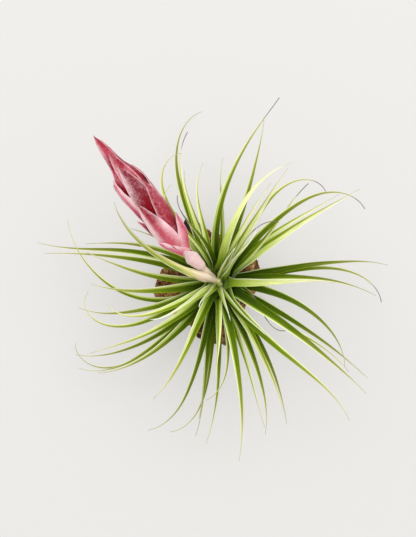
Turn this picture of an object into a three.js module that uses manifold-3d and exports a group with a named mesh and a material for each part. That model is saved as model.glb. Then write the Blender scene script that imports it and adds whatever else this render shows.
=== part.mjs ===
// An aeranthos air plant on a chunk of cork bark: a short stem, a rosette of channelled leaves,
// a heart of young leaves, and a leaning scape that carries a spike of overlapping bracts.
// Millimetres, +Z up. The origin is the foot of the stem's axis on the bark's flat underside.
// Plan angles are in degrees from +X, counter-clockwise seen from above.
import * as THREE from "three";
import { mergeVertices } from "three/addons/utils/BufferGeometryUtils.js";
import Module from "manifold-3d";

const wasm = await Module();
wasm.setup();

// Driving sizes of the whole plant.
const SEAT_GAP = 0.3;
const LEAST_THICKNESS = 0.6;
const BARK_TOP = 24;
const STEM_FOOT = BARK_TOP - 8;
const LOWEST_LEAF = 28;
const TIER_SPREAD = 26;
const STEM_TOP = LOWEST_LEAF + TIER_SPREAD - 0.6;
const HEART_TOP = STEM_TOP + 6.6;

// Colours and finishes, as the photograph shows them.
const CORK = { color: 0x6b4630, roughness: 0.95 };
const STEM_SKIN = { color: 0x8a7448, roughness: 0.9 };
const LEAF_GREEN = { color: 0x6f8f2e, roughness: 0.6 };
const YOUNG_GREEN = { color: 0xa9bf63, roughness: 0.6 };
const SCAPE_PINK = { color: 0xe3b9a2, roughness: 0.6 };
const BRACT_ROSE = { color: 0xc8566a, roughness: 0.55 };

const SKY = new THREE.Vector3(0, 0, 1);
const clamp = THREE.MathUtils.clamp;
const lerp = THREE.MathUtils.lerp;
const radians = THREE.MathUtils.degToRad;

function finish({ color, roughness }) {
  return new THREE.MeshStandardMaterial({ color, roughness, metalness: 0 });
}

// A closed surface as a solid, so that it can be joined or cut.
function solidOf(geometry) {
  const bare = geometry.clone();
  bare.deleteAttribute("normal");
  bare.deleteAttribute("uv");
  const merged = mergeVertices(bare, 1e-3);
  return new wasm.Manifold(new wasm.Mesh({
    numProp: 3,
    vertProperties: new Float32Array(merged.attributes.position.array),
    triVerts: new Uint32Array(merged.index.array),
  }));
}

function geometryOf(solid) {
  const { vertProperties, triVerts } = solid.getMesh();
  const geometry = new THREE.BufferGeometry();
  geometry.setAttribute("position", new THREE.BufferAttribute(vertProperties, 3));
  geometry.setIndex(new THREE.BufferAttribute(triVerts, 1));
  geometry.computeVertexNormals();
  return geometry;
}

// The one body that a join leaves: hollows that it seals are filled and loose scraps dropped.
function wholeBody(solid) {
  return solid.decompose().reduce((most, body) => (body.volume() > most.volume() ? body : most));
}

function named(name, geometry, look) {
  const mesh = new THREE.Mesh(geometry, finish(look));
  mesh.name = name;
  return mesh;
}

// A skin over a stack of closed loops of equal point count, capped flat at both ends.
// Every quad is split along the same diagonal, so facing walls stay parallel.
function loft(loops) {
  const around = loops[0].length;
  const positions = loops.flat().flatMap((p) => [p.x, p.y, p.z]);
  const index = [];
  for (let i = 0; i + 1 < loops.length; i++) {
    for (let j = 0; j < around; j++) {
      const a = i * around + j;
      const b = i * around + ((j + 1) % around);
      index.push(a, b, a + around, b, b + around, a + around);
    }
  }
  const last = (loops.length - 1) * around;
  for (let j = 1; j + 1 < around; j++) {
    index.push(0, j + 1, j);
    index.push(last, last + j, last + j + 1);
  }
  const geometry = new THREE.BufferGeometry();
  geometry.setAttribute("position", new THREE.Float32BufferAttribute(positions, 3));
  geometry.setIndex(index);
  return geometry;
}

// The stem narrows evenly upwards; leaf tiers are spread over this height.
const STEM_RADIUS_LOW = 6.2;
const STEM_TAPER = 0.12;

function stemRadius(z) {
  return STEM_RADIUS_LOW - STEM_TAPER * (z - LOWEST_LEAF);
}

function tierBase(tier) {
  return LOWEST_LEAF + TIER_SPREAD * tier;
}

// How leaves climb and sag: each pair is the value in the lowest tier and in the highest.
const CLIMB = [9, 54];
const STEEPNESS = [0.35, 1.95];
const SAG = [24, 17];
const SAG_REACH = 95;

// How high a leaf of one tier lies at a distance from the axis: tier 0 is the lowest leaf
// and 1 the highest. It climbs, levels out and sags, and no two tiers ever cross.
function leafHeight(tier, distance) {
  const base = tierBase(tier);
  const climb = lerp(...CLIMB, tier);
  const steepness = lerp(...STEEPNESS, tier);
  const sag = lerp(...SAG, tier);
  const clear = Math.max(distance - stemRadius(base), 0);
  const rise = climb * (1 - Math.exp((-steepness * clear) / climb));
  return base + rise - sag * (distance / SAG_REACH) ** 2;
}

// The centre line of a leaf. Seen from above, its heading starts at the azimuth, turns evenly
// by the sweep along the whole length, and by the hook mostly near the tip. The lift raises
// the tip above its tier's own height.
const LEAF_STEPS = 14;
const FINE_STEPS = 10;

function leafLine({ azimuth, length, sweep, hook, lift = 0 }, tier, startRadius) {
  const start = radians(azimuth);
  let x = startRadius * Math.cos(start);
  let y = startRadius * Math.sin(start);
  const points = [];
  for (let i = 0; i <= LEAF_STEPS; i++) {
    const height = leafHeight(tier, Math.hypot(x, y)) + lift * (i / LEAF_STEPS) ** 3;
    points.push(new THREE.Vector3(x, y, height));
    for (let k = 0; k < FINE_STEPS; k++) {
      const s = (i + (k + 0.5) / FINE_STEPS) / LEAF_STEPS;
      const heading = radians(azimuth + sweep * s + hook * s ** 4);
      x += (length / LEAF_STEPS / FINE_STEPS) * Math.cos(heading);
      y += (length / LEAF_STEPS / FINE_STEPS) * Math.sin(heading);
    }
  }
  return points;
}

// A leaf blade: flat where it leaves the stem, then channelled, and narrowing to a thread.
const LEAF_THICKNESS = 1.2;
const CHANNEL_DEPTH = 0.32;
const CHANNEL_START = 0.12;
const SHOULDER = 0.2;
const TAPER_POWER = 1.2;
const LEAF_ROOT_SHARE = 0.8;
const YOUNG_ROOT_SHARE = 0.4;

// Directions at one point of a line: along it, to its level left, and over its upper face.
function frameAt(line, i) {
  const before = line[Math.max(i - 1, 0)];
  const after = line[Math.min(i + 1, line.length - 1)];
  const along = after.clone().sub(before).normalize();
  const left = SKY.clone().cross(along).normalize();
  const over = along.clone().cross(left);
  return { along, left, over };
}

// Half the width of a leaf as a share of its widest: from its root to its shoulder to its tip.
function leafShare(s, rootShare) {
  if (s < SHOULDER) return lerp(rootShare, 1, s / SHOULDER);
  return ((1 - s) / (1 - SHOULDER)) ** TAPER_POWER;
}

function leafBlade(leaf, tier, startRadius, rootShare) {
  const line = leafLine(leaf, tier, startRadius);
  return loft(line.map((at, i) => {
    const s = i / LEAF_STEPS;
    const { left, over } = frameAt(line, i);
    const half = Math.max((leaf.width / 2) * leafShare(s, rootShare), LEAST_THICKNESS / 2);
    const thickness = lerp(LEAF_THICKNESS, LEAST_THICKNESS, s);
    const edgeLift = CHANNEL_DEPTH * half * clamp(s / CHANNEL_START, 0, 1);
    return [
      at.clone().addScaledVector(left, half).addScaledVector(over, edgeLift),
      at.clone(),
      at.clone().addScaledVector(left, -half).addScaledVector(over, edgeLift),
      at.clone().addScaledVector(over, -thickness),
    ];
  }));
}

// The leaves in order from the lowest to the highest, a row for each: azimuth where it leaves
// the stem, length in plan, sweep, hook, width. A row of ten holds two blades from one base.
// Only the widths were read by hand. A least-squares fit to points read off the photograph
// gave the rest, rounded, and a search for an order without clashes sorted the rows.
const LEAF_ROWS = [
  [115, 99, -11, -84, 4.1],
  [-131, 89, -17, -50, 3.5, -134, 98, -2, -136, 3.2],
  [-23, 94, -22, 3, 3.8],
  [107, 58, 13, -34, 2.7],
  [151, 98, 52, -41, 4.3],
  [10, 94, -4, -87, 3.8],
  [71, 89, 3, 10, 4.1],
  [113, 81, -7, -46, 3.2],
  [-150, 101, -112, 1, 3.2],
  [12, 89, -5, -22, 4.6],
  [123, 79, 9, -129, 4.9],
  [-97, 86, 10, -86, 3.2],
  [8, 83, -22, -15, 3.8],
  [-149, 86, -9, -151, 3.8],
  [81, 62, 26, -28, 3.2],
  [-101, 70, 12, -13, 4.9, -101, 80, 15, -23, 3.2],
  [141, 72, 54, -11, 3.8],
  [98, 105, -64, 21, 4.1],
  [-51, 82, -26, -5, 4.1],
  [-104, 88, 2, -67, 3.8],
  [105, 61, 1, -46, 3.5],
  [-155, 73, -21, -26, 4.3],
  [159, 91, 27, -6, 3.8],
  [111, 58, 65, -145, 2.7],
  [-88, 83, -7, -16, 3.5],
  [179, 68, -26, 2, 4.1],
  [98, 48, 74, -91, 2.7],
  [133, 51, 36, -5, 2.7],
  [-170, 64, -14, -14, 4.9],
  [-68, 77, -11, 5, 3.0],
  [58, 84, 10, -137, 3.8],
  [-4, 85, -50, -35, 4.3],
  [-62, 82, -13, -25, 4.3],
  [46, 76, -25, 9, 4.1],
  [-125, 79, -29, -22, 4.9],
  [-54, 73, -20, 2, 4.3],
  [38, 87, -10, 0, 5.4],
  [-132, 84, -35, -24, 3.8],
  [-77, 63, -17, -61, 3.0],
  [-36, 81, 18, -37, 2.7],
  [36, 67, 37, -31, 3.0],
  [82, 75, -39, -30, 4.3],
  [-74, 92, -16, -9, 4.6],
  [-1, 43, -135, 148, 1.6],
  [-135, 75, -37, 8, 4.1],
  [51, 95, -15, -99, 4.1],
  [-87, 47, -9, -7, 3.2],
  [-30, 95, -14, -1, 5.1],
  [-151, 61, -10, -77, 4.1],
  [69, 56, -14, -2, 3.2, 60, 67, -1, -5, 4.9],
  [-55, 97, 38, -51, 4.3],
  [-118, 67, 10, -32, 4.9],
  [-2, 58, 12, -21, 4.3],
];

// Tips stand a little above or below their tier, by turns that never settle into a pattern.
const TIP_LIFT = 7;
const GOLDEN_TURN = 0.618;

function tipLift(order) {
  return TIP_LIFT * (2 * ((order * GOLDEN_TURN) % 1) - 1);
}

function rowBlades(row, lift) {
  const blades = [];
  for (let i = 0; i < row.length; i += 5) {
    const [azimuth, length, sweep, hook, width] = row.slice(i, i + 5);
    blades.push({ azimuth, length, sweep, hook, width, lift });
  }
  return blades;
}

function leaf(row, order) {
  const tier = order / (LEAF_ROWS.length - 1);
  const startRadius = stemRadius(tierBase(tier)) + SEAT_GAP;
  const blades = rowBlades(row, tipLift(order)).map(
    (blade) => leafBlade(blade, tier, startRadius, LEAF_ROOT_SHARE),
  );
  const geometry = blades.length === 1
    ? blades[0]
    : geometryOf(blades.map(solidOf).reduce((joined, blade) => joined.add(blade)));
  const name = "leaf_" + String(order + 1).padStart(2, "0");
  return named(name, geometry, LEAF_GREEN);
}

function rosette() {
  const leaves = new THREE.Group();
  LEAF_ROWS.forEach((row, order) => leaves.add(leaf(row, order)));
  return leaves;
}

// A round solid from a profile of [radius, height] pairs that starts and ends on the axis.
function turned(profile, sides) {
  const points = profile.map(([radius, height]) => new THREE.Vector2(radius, height));
  return new THREE.LatheGeometry(points, sides).rotateX(Math.PI / 2);
}

// The stem stands in a socket of the bark, and carries every leaf on its tapered flank.
const SOCKET_RADIUS = 5.9;
const STEM_SIDES = 20;
const COLLAR = 2;

function stem() {
  const footRadius = SOCKET_RADIUS - SEAT_GAP;
  const profile = [
    [0, STEM_FOOT + SEAT_GAP],
    [footRadius, STEM_FOOT + SEAT_GAP],
    [footRadius, BARK_TOP],
    [STEM_RADIUS_LOW, LOWEST_LEAF - COLLAR],
    [STEM_RADIUS_LOW, LOWEST_LEAF],
    [stemRadius(STEM_TOP), STEM_TOP],
    [0, STEM_TOP],
  ];
  return named("stem", turned(profile, STEM_SIDES), STEM_SKIN);
}

// The heart: young leaves that rise steeply from a bud on top of the stem, joined in one solid.
// Its rows are as the leaf rows, with the tier last: they started from the same fit and were
// then changed by hand. The bud stands aside for the scape.
const BUD_SIDES = 12;
const BUD_ASIDE = 1;
const BUD_RADIUS = 1.8;
const BUD_TIP_RADIUS = 1.3;
const BUD_SHOULDER = 3;
const BUD_ROOT = 0.2;
const HEART_ROWS = [
  [-60, 39, 29, -9, 2.0, 1.03],
  [-147, 41, 8, -43, 3.8, 1.03],
  [56, 47, 11, -86, 1.6, 1.03],
  [61, 35, -33, 52, 2.4, 1.05],
  [-77, 21, 16, -17, 2.7, 1.05],
  [-121, 17, -43, 80, 3.2, 1.06],
  [36, 20, 62, -67, 3.8, 1.1],
  [80, 21, -36, 7, 3.0, 1.14],
  [84, 14, -40, 34, 2.0, 1.2],
];

function heart() {
  const bud = turned([
    [0, STEM_TOP + SEAT_GAP],
    [BUD_RADIUS, STEM_TOP + SEAT_GAP],
    [BUD_RADIUS, STEM_TOP + BUD_SHOULDER],
    [BUD_TIP_RADIUS, HEART_TOP],
    [0, HEART_TOP],
  ], BUD_SIDES).translate(BUD_ASIDE, -BUD_ASIDE, 0);
  const joined = HEART_ROWS.reduce((solid, [azimuth, length, sweep, hook, width, tier]) => {
    const young = { azimuth, length, sweep, hook, width };
    return solid.add(solidOf(leafBlade(young, tier, BUD_ROOT, YOUNG_ROOT_SHARE)));
  }, solidOf(bud));
  return named("heart", geometryOf(wholeBody(joined)), YOUNG_GREEN);
}

// The scape rises beside the bud and leans over to the foot of the spike.
const SPIKE_FOOT = new THREE.Vector3(-17.5, 16.4, 79);
const SPIKE_TIP = new THREE.Vector3(-64.2, 75.5, 113);
const SPIKE_AXIS = SPIKE_TIP.clone().sub(SPIKE_FOOT).normalize();
const SCAPE_RADIUS = 1.5;
const SCAPE_STEPS = 16;
const SCAPE_ARC_SEGMENTS = 5;
const SCAPE_END = 1.5;

function scapePath() {
  return new THREE.CatmullRomCurve3([
    new THREE.Vector3(-1.6, 1.6, STEM_TOP + SEAT_GAP),
    new THREE.Vector3(-2.6, 2.5, STEM_TOP + 6),
    new THREE.Vector3(-5.2, 5.0, STEM_TOP + 12.5),
    new THREE.Vector3(-9.8, 9.3, STEM_TOP + 19),
    SPIKE_FOOT.clone().addScaledVector(SPIKE_AXIS, -SCAPE_END),
  ]);
}

function scape() {
  const section = new THREE.Shape().absarc(0, 0, SCAPE_RADIUS, 0, 2 * Math.PI);
  const geometry = new THREE.ExtrudeGeometry(section, {
    steps: SCAPE_STEPS,
    curveSegments: SCAPE_ARC_SEGMENTS,
    bevelEnabled: false,
    extrudePath: scapePath(),
  });
  return named("scape", geometry, SCAPE_PINK);
}

// One cross-section of a bract: an arc of a wall around a centre, open on its inner side.
// The arc is centred on the outward direction, and a side direction gives its plane.
const ARC_STEPS = 4;

function arcWall(centre, outward, side, radius, halfAngle, thickness) {
  const rim = (wallRadius, share) => {
    const angle = halfAngle * share;
    return centre.clone()
      .addScaledVector(outward, wallRadius * Math.cos(angle))
      .addScaledVector(side, wallRadius * Math.sin(angle));
  };
  const loop = [];
  for (let j = 0; j <= ARC_STEPS; j++) loop.push(rim(radius + thickness / 2, 1 - (2 * j) / ARC_STEPS));
  for (let j = 0; j <= ARC_STEPS; j++) loop.push(rim(radius - thickness / 2, -1 + (2 * j) / ARC_STEPS));
  return loop;
}

// How wide a bract is along its length, as a share of its widest: broad at its base,
// widest a third of the way up, and pointed.
const BRACT_WIDEST = 0.35;
const BRACT_BASE_SHARE = 0.8;
const BRACT_TIP_POWER = 2;
const BRACT_THICKNESS = 0.75;

function bractShare(s) {
  if (s < BRACT_WIDEST) return lerp(BRACT_BASE_SHARE, 1, s / BRACT_WIDEST);
  return 1 - ((s - BRACT_WIDEST) / (1 - BRACT_WIDEST)) ** BRACT_TIP_POWER;
}

// The bract that sheathes the upper scape and holds the foot of the spike.
const SHEATH_STEPS = 8;
const SHEATH_FROM = 0.59;
const SHEATH_LIP = 0.8;
const SHEATH_PAST = 2.2;
const SHEATH_RADIUS = [2.3, 3.9];
const SHEATH_HALF_ANGLE = [95, 40];

function scapeSheath() {
  const path = scapePath();
  const loops = [];
  for (let i = 0; i <= SHEATH_STEPS; i++) {
    const s = i / SHEATH_STEPS;
    const share = lerp(SHEATH_FROM, 1, Math.min(s / SHEATH_LIP, 1));
    const past = SHEATH_PAST * Math.max((s - SHEATH_LIP) / (1 - SHEATH_LIP), 0);
    const along = path.getTangentAt(share);
    const centre = path.getPointAt(share).addScaledVector(along, past);
    const side = SKY.clone().cross(along).normalize();
    const outward = along.clone().cross(side);
    const radius = lerp(...SHEATH_RADIUS, s);
    const halfAngle = radians(lerp(...SHEATH_HALF_ANGLE, s ** 2));
    loops.push(arcWall(centre, outward, side, radius, halfAngle, BRACT_THICKNESS));
  }
  return named("scape_bract_2", loft(loops), SCAPE_PINK);
}

// The lowest bract of the scape: its boat-shaped base lies over the scape's left side, back
// to the sky, and narrows to a long leafy blade.
// The fit gave its azimuth, length, sweep and hook too.
const LOW_BRACT = { azimuth: 166, length: 70, sweep: -37, hook: -24, width: 6.4 };
const LOW_BRACT_ROOT = 2.6;
const LOW_BRACT_TILT = 28;
const LOW_BRACT_LEVEL = 0.4;
const LOW_BRACT_FOOT = STEM_TOP + 10.2;
const LOW_BRACT_CLIMB = 18;
const LOW_BRACT_REACH = 20;
const LOW_BRACT_SAG = 8;
const LOW_BRACT_RADIUS = [3.2, 1.6];

// Half the width of the low bract, as a share of its widest at a share of its length.
const LOW_BRACT_SHARES = [[0, 0.75], [0.1, 0.9], [0.22, 0.6], [0.5, 0.44], [0.8, 0.24], [1, 0]];

// The value at a place in a list of [place, value] pairs, on a straight line between pairs.
function valueAt(pairs, place) {
  const after = pairs.findIndex(([at]) => at >= place);
  if (after < 0) return pairs.at(-1)[1];
  if (after === 0) return pairs[0][1];
  const [at0, value0] = pairs[after - 1];
  const [at1, value1] = pairs[after];
  return lerp(value0, value1, (place - at0) / (at1 - at0));
}

function lowBractHeight(distance) {
  const climb = LOW_BRACT_CLIMB * (1 - Math.exp(-distance / LOW_BRACT_REACH));
  return LOW_BRACT_FOOT + climb - LOW_BRACT_SAG * (distance / LOW_BRACT.length) ** 2;
}

function lowScapeBract() {
  const line = leafLine(LOW_BRACT, 1, LOW_BRACT_ROOT);
  line.forEach((p) => p.setZ(lowBractHeight(Math.hypot(p.x, p.y))));
  const loops = line.map((at, i) => {
    const s = i / LEAF_STEPS;
    const { along, left, over } = frameAt(line, i);
    const tilt = radians(LOW_BRACT_TILT) * Math.max(1 - s / LOW_BRACT_LEVEL, 0);
    left.applyAxisAngle(along, -tilt);
    over.applyAxisAngle(along, -tilt);
    const share = valueAt(LOW_BRACT_SHARES, s);
    const half = Math.max((LOW_BRACT.width / 2) * share, LEAST_THICKNESS / 2);
    const radius = lerp(...LOW_BRACT_RADIUS, s);
    const centre = at.clone().addScaledVector(over, -radius);
    return arcWall(centre, over, left, radius, half / radius, BRACT_THICKNESS);
  });
  return named("scape_bract_1", loft(loops), SCAPE_PINK);
}

// The spike stands in its own frame: +Z along its axis, +Y to the sky, +X to its left.
// Its outline is the radius at a height above the foot.
const SPIKE_OUTLINE = [
  [-2, 2.8], [4, 6.2], [10, 8.2], [26, 9], [40, 9.2], [50, 8.8], [56, 7], [61, 5], [66, 4],
  [72, 3.3], [78, 1.8], [84, 0.6],
];
const CORE_SHARE = 0.42;
const CORE_LEAST = 1.2;
const CORE_FOOT_RADIUS = 1.9;
const CORE_TOP = 72;
const CORE_STEP = 8;
const CORE_SIDES = 12;
const BRACT_STEPS = 8;
const BRACT_ROOT = 1;
const BRACT_LEAST_CURVE = 1.6;
const BRACT_MOST_WRAP = 1.65;

// Floral bracts, in order up the spike: height of the base, roll from the sky side to the
// left, length, width, how far the tip stands off the outline, and the height over which it
// swells out to it.
const FLORAL_BRACTS = [
  [-1, -58, 25.5, 9, 3, 7],
  [-1, 62, 17, 12, 1.8, 3],
  [0, 28, 42, 13, 0.4, 5],
  [0, 175, 31, 11, 0, 7],
  [2, 108, 30, 12, 0.6, 5],
  [8, -42, 41, 13, 0, 7],
  [8, -122, 37, 12, 0, 7],
  [12, 122, 41, 12, 0.6, 7],
  [14, -165, 40, 11, 0, 7],
  [16, 66, 42, 13, 0.4, 7],
  [18, -100, 40, 12, 0.4, 7],
  [20, -2, 44, 12.5, 0.3, 7],
  [33, 56, 36, 11, 0, 7],
  [34, -62, 41, 12, 0, 7],
  [34, 168, 40, 11, 0, 7],
  [36, -8, 36, 10, 0.3, 7],
  [46, -120, 33, 8, 0, 7],
  [46, 126, 34, 8, 0, 7],
  [49, 8, 34, 8, 0, 7],
];

// A floral bract leaves the core, swells out to the spike's outline and closes over the next.
function floralBract([base, roll, length, width, standOff, swellHeight]) {
  const turn = radians(roll);
  const outward = new THREE.Vector3(Math.sin(turn), Math.cos(turn), 0);
  const side = new THREE.Vector3(Math.cos(turn), -Math.sin(turn), 0);
  const loops = [];
  for (let i = 0; i <= BRACT_STEPS; i++) {
    const s = i / BRACT_STEPS;
    const height = base + length * s;
    const reach = valueAt(SPIKE_OUTLINE, height) - BRACT_THICKNESS / 2;
    const swell = 1 - Math.exp((-length * s) / swellHeight);
    const distance = lerp(BRACT_ROOT, reach, swell) + standOff * s ** 3;
    const radius = Math.max(distance, BRACT_LEAST_CURVE) + LEAST_THICKNESS;
    const half = Math.max((width / 2) * bractShare(s), LEAST_THICKNESS / 2);
    const wrap = Math.min(half / radius, BRACT_MOST_WRAP);
    const centre = outward.clone().multiplyScalar(distance - radius).setZ(height);
    loops.push(arcWall(centre, outward, side, radius, wrap, BRACT_THICKNESS));
  }
  return loft(loops);
}

function flowerSpike() {
  const foot = -SCAPE_END + SEAT_GAP;
  const coreProfile = [[0, foot], [CORE_FOOT_RADIUS, foot]];
  for (let height = CORE_STEP / 2; height < CORE_TOP; height += CORE_STEP) {
    coreProfile.push([Math.max(CORE_SHARE * valueAt(SPIKE_OUTLINE, height), CORE_LEAST), height]);
  }
  coreProfile.push([0, CORE_TOP]);
  const joined = FLORAL_BRACTS.reduce(
    (solid, row) => solid.add(solidOf(floralBract(row))),
    solidOf(turned(coreProfile, CORE_SIDES)),
  );
  const spike = named("flower_spike", geometryOf(wholeBody(joined)), BRACT_ROSE);
  const sky = SKY.clone().addScaledVector(SPIKE_AXIS, -SKY.dot(SPIKE_AXIS)).normalize();
  const left = sky.clone().cross(SPIKE_AXIS);
  spike.quaternion.setFromRotationMatrix(new THREE.Matrix4().makeBasis(left, sky, SPIKE_AXIS));
  spike.position.copy(SPIKE_FOOT);
  return spike;
}

// The cork bark: a flat-bottomed chunk with this outline seen from above, craggy on its
// sides and top, with a round socket for the stem.
const BARK_OUTLINE = [
  [21, 6.5], [18.5, -3], [15, -12], [9.5, -23], [5, -33], [-2, -32], [-11, -29],
  [-16, -22], [-23, -16], [-33, -9.5], [-32, 0], [-27, 7], [-24, 14], [-20.5, 25],
  [-17, 34], [-9.5, 30], [-2, 26], [7, 21], [14, 16], [21, 12],
];
const BARK_AROUND = 64;
const CRAG_DEPTH = 2.6;
const CRAG_HEIGHT = 1.6;
const LEVEL_REACH = 9;
const SHOULDER_REACH = 28;
const SHOULDER_DROP = 7;
const RIM_DROP = 1.2;

// Rings of the top as shares of the outline, and of the side as pairs of height and outline
// shares, from the foot up.
const BARK_SIDE_RINGS = [
  [0, 0.88], [0.06, 0.94], [0.24, 0.97], [0.46, 1.04], [0.66, 1], [0.86, 1.03], [1, 0.95],
];
const BARK_TOP_RINGS = [0.88, 0.74, 0.58, 0.42, 0.28];

// Crags of the bark, from -1 to 1: ridges that run across the chunk, broken by steps and grit.
function crag(x, y, z) {
  const ridges = Math.sin(0.34 * x + 0.2 * y + 0.5 * z);
  const steps = Math.tanh(3 * Math.sin(0.27 * y - 0.15 * x + 0.22 * z + 1.3));
  const grit = Math.sin(0.9 * x - 0.7 * y + 0.4 * z) * Math.sin(0.8 * y + 0.6 * z + 0.5);
  return 0.4 * ridges + 0.35 * steps + 0.25 * grit;
}

// The top of the chunk: level around the socket, then falling away and craggy to the rim.
function barkHeight(x, y) {
  const beyond = Math.max(Math.hypot(x, y) - LEVEL_REACH, 0);
  const rough = CRAG_HEIGHT * clamp(beyond / LEVEL_REACH, 0, 1);
  const fall = SHOULDER_DROP * (beyond / SHOULDER_REACH) ** 1.5;
  return BARK_TOP - fall + rough * crag(x, y, 0);
}

function corkBark() {
  const outline = new THREE.CatmullRomCurve3(
    BARK_OUTLINE.map(([x, y]) => new THREE.Vector3(x, y, 0)), true,
  ).getSpacedPoints(BARK_AROUND).slice(0, BARK_AROUND).reverse();
  const ring = (place) => outline.map((p) => place(p.x, p.y, Math.hypot(p.x, p.y)));
  const side = BARK_SIDE_RINGS.map(([level, share]) => ring((x, y, distance) => {
    const z = level * (barkHeight(x, y) - RIM_DROP);
    const proud = share + (level > 0 ? (CRAG_DEPTH * crag(x, y, z)) / distance : 0);
    return new THREE.Vector3(x * proud, y * proud, z);
  }));
  const top = BARK_TOP_RINGS.map((share) => ring((x, y) => (
    new THREE.Vector3(x * share, y * share, barkHeight(x * share, y * share))
  )));
  const socket = turned([
    [0, STEM_FOOT],
    [SOCKET_RADIUS, STEM_FOOT],
    [SOCKET_RADIUS, LOWEST_LEAF],
    [0, LOWEST_LEAF],
  ], STEM_SIDES);
  const chunk = solidOf(loft([...side, ...top])).subtract(solidOf(socket));
  return named("cork_bark", geometryOf(wholeBody(chunk)), CORK);
}

const airPlant = new THREE.Group();
airPlant.add(corkBark(), stem(), rosette(), heart());
airPlant.add(scape(), lowScapeBract(), scapeSheath(), flowerSpike());

export default airPlant;
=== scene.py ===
"""An aeranthos air plant on a chunk of cork bark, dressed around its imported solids.

Shapes are worked out in millimetres and stored in metres, +Z up, with the origin at the foot of
the stem's axis on the bark's flat underside. Plan angles are in degrees from +X, turning to +Y.
"""

import bpy
import numpy as np
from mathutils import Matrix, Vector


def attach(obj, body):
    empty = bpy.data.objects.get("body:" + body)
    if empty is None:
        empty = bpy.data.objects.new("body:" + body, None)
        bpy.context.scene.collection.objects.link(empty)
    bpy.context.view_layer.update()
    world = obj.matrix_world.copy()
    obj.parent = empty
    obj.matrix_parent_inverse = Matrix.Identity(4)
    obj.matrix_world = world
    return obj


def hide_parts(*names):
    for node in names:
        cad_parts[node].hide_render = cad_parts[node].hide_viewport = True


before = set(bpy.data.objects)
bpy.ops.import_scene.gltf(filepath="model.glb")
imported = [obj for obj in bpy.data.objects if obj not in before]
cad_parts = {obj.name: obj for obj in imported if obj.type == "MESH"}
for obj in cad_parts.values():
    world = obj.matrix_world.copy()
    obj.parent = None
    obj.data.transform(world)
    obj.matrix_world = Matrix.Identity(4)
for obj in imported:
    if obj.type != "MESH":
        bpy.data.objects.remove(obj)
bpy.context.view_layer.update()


# Cork bark: a rough, dry chunk broken from the outer bark of a cork oak, tan and granular where
# it is worn, with shade painted dark into its fissures. It is sawn flat underneath, and has a
# round socket for the stem. Its fine grain is cut into the same chunk that the imported solid has.

BARK_TOP = 24.0
SOCKET_RADIUS = 5.9
SOCKET_FLOOR = 16.0
BARK_OUTLINE = np.array([
    (21, 6.5), (18.5, -3), (15, -12), (9.5, -23), (5, -33), (-2, -32), (-11, -29),
    (-16, -22), (-23, -16), (-33, -9.5), (-32, 0), (-27, 7), (-24, 14), (-20.5, 25),
    (-17, 34), (-9.5, 30), (-2, 26), (7, 21), (14, 16), (21, 12),
], float)
CRAG_DEPTH = 2.6
CRAG_HEIGHT = 1.6
LEVEL_REACH = 9.0
SHOULDER_REACH = 28.0
SHOULDER_DROP = 7.0
RIM_DROP = 1.2
FISSURE_DEPTH = 1.1
RIM_BLUR = 13
SOCKET_LIP = 1.08
TOP_EDGE = 0.93
SHAFT_TOP = BARK_TOP - 0.6
SEAM_SIZES = (6.5, 2.8)
SEAM_WIDTH = 0.055
LUMP_SIZES = (3.4, 1.3)
LUMP_DEPTH = 1.5
FOOT_FREE = (0, 0.3, 0.7)
LIP_FREE = (0.5, 0.2, 0)
BARK_MIDDLE = 10.0
STAINED_BACK = (17, 23)
STAINED_FRONT = (17, 25)
STAIN_STRENGTH = (0.85, 0.75)
BARK_AROUND = 360
SIDE_HEIGHTS = [0, 0.06, 0.24, 0.46, 0.66, 0.86, 1]
SIDE_SHARES = [0.88, 0.94, 0.97, 1.04, 1.0, 1.03, 0.95]
SIDE_ROWS = 48
TOP_ROWS = 60


def grain(points, size, seed):
    """Smooth noise from 0 to 1 with grains of one size in millimetres: a random value at each
    corner of a cubic lattice, blended between the corners by 3t squared minus 2t cubed."""
    cell = points / size
    low = np.floor(cell).astype(np.int64)
    part = cell - low
    part = part * part * (3 - 2 * part)
    total = np.zeros(points.shape[:-1])
    for corner in np.ndindex(2, 2, 2):
        at = (low + corner) * np.array([73856093, 19349663, 83492791])
        mixed = at[..., 0] ^ at[..., 1] ^ at[..., 2] ^ (seed * 2654435761)
        mixed = ((mixed ^ (mixed >> 13)) * 1274126177) & 0x7FFFFFFF
        value = ((mixed ^ (mixed >> 15)) & 0xFFFF) / 65535
        weight = np.prod(np.where(corner, part, 1 - part), axis=-1)
        total += weight * value
    return total


def smooth(value, low, high):
    """Rises from 0 at low to 1 at high as 3t squared minus 2t cubed."""
    t = np.clip((value - low) / (high - low), 0, 1)
    return t * t * (3 - 2 * t)


def crag(x, y, z):
    """Crags from -1 to 1: sine ridges across the chunk, broken by soft steps and by grit."""
    ridges = np.sin(0.34 * x + 0.2 * y + 0.5 * z)
    steps = np.tanh(3 * np.sin(0.27 * y - 0.15 * x + 0.22 * z + 1.3))
    grit = np.sin(0.9 * x - 0.7 * y + 0.4 * z) * np.sin(0.8 * y + 0.6 * z + 0.5)
    return 0.4 * ridges + 0.35 * steps + 0.25 * grit


def bark_height(x, y):
    """Height of the top: level to 9 mm from the axis, then falling by 7 mm times the distance
    beyond, as a share of 28 mm, to the power 1.5, with crags that grow in over 9 mm."""
    beyond = np.maximum(np.hypot(x, y) - LEVEL_REACH, 0)
    rough = CRAG_HEIGHT * np.clip(beyond / LEVEL_REACH, 0, 1)
    fall = SHOULDER_DROP * (beyond / SHOULDER_REACH) ** 1.5
    return BARK_TOP - fall + rough * crag(x, y, 0)


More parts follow.
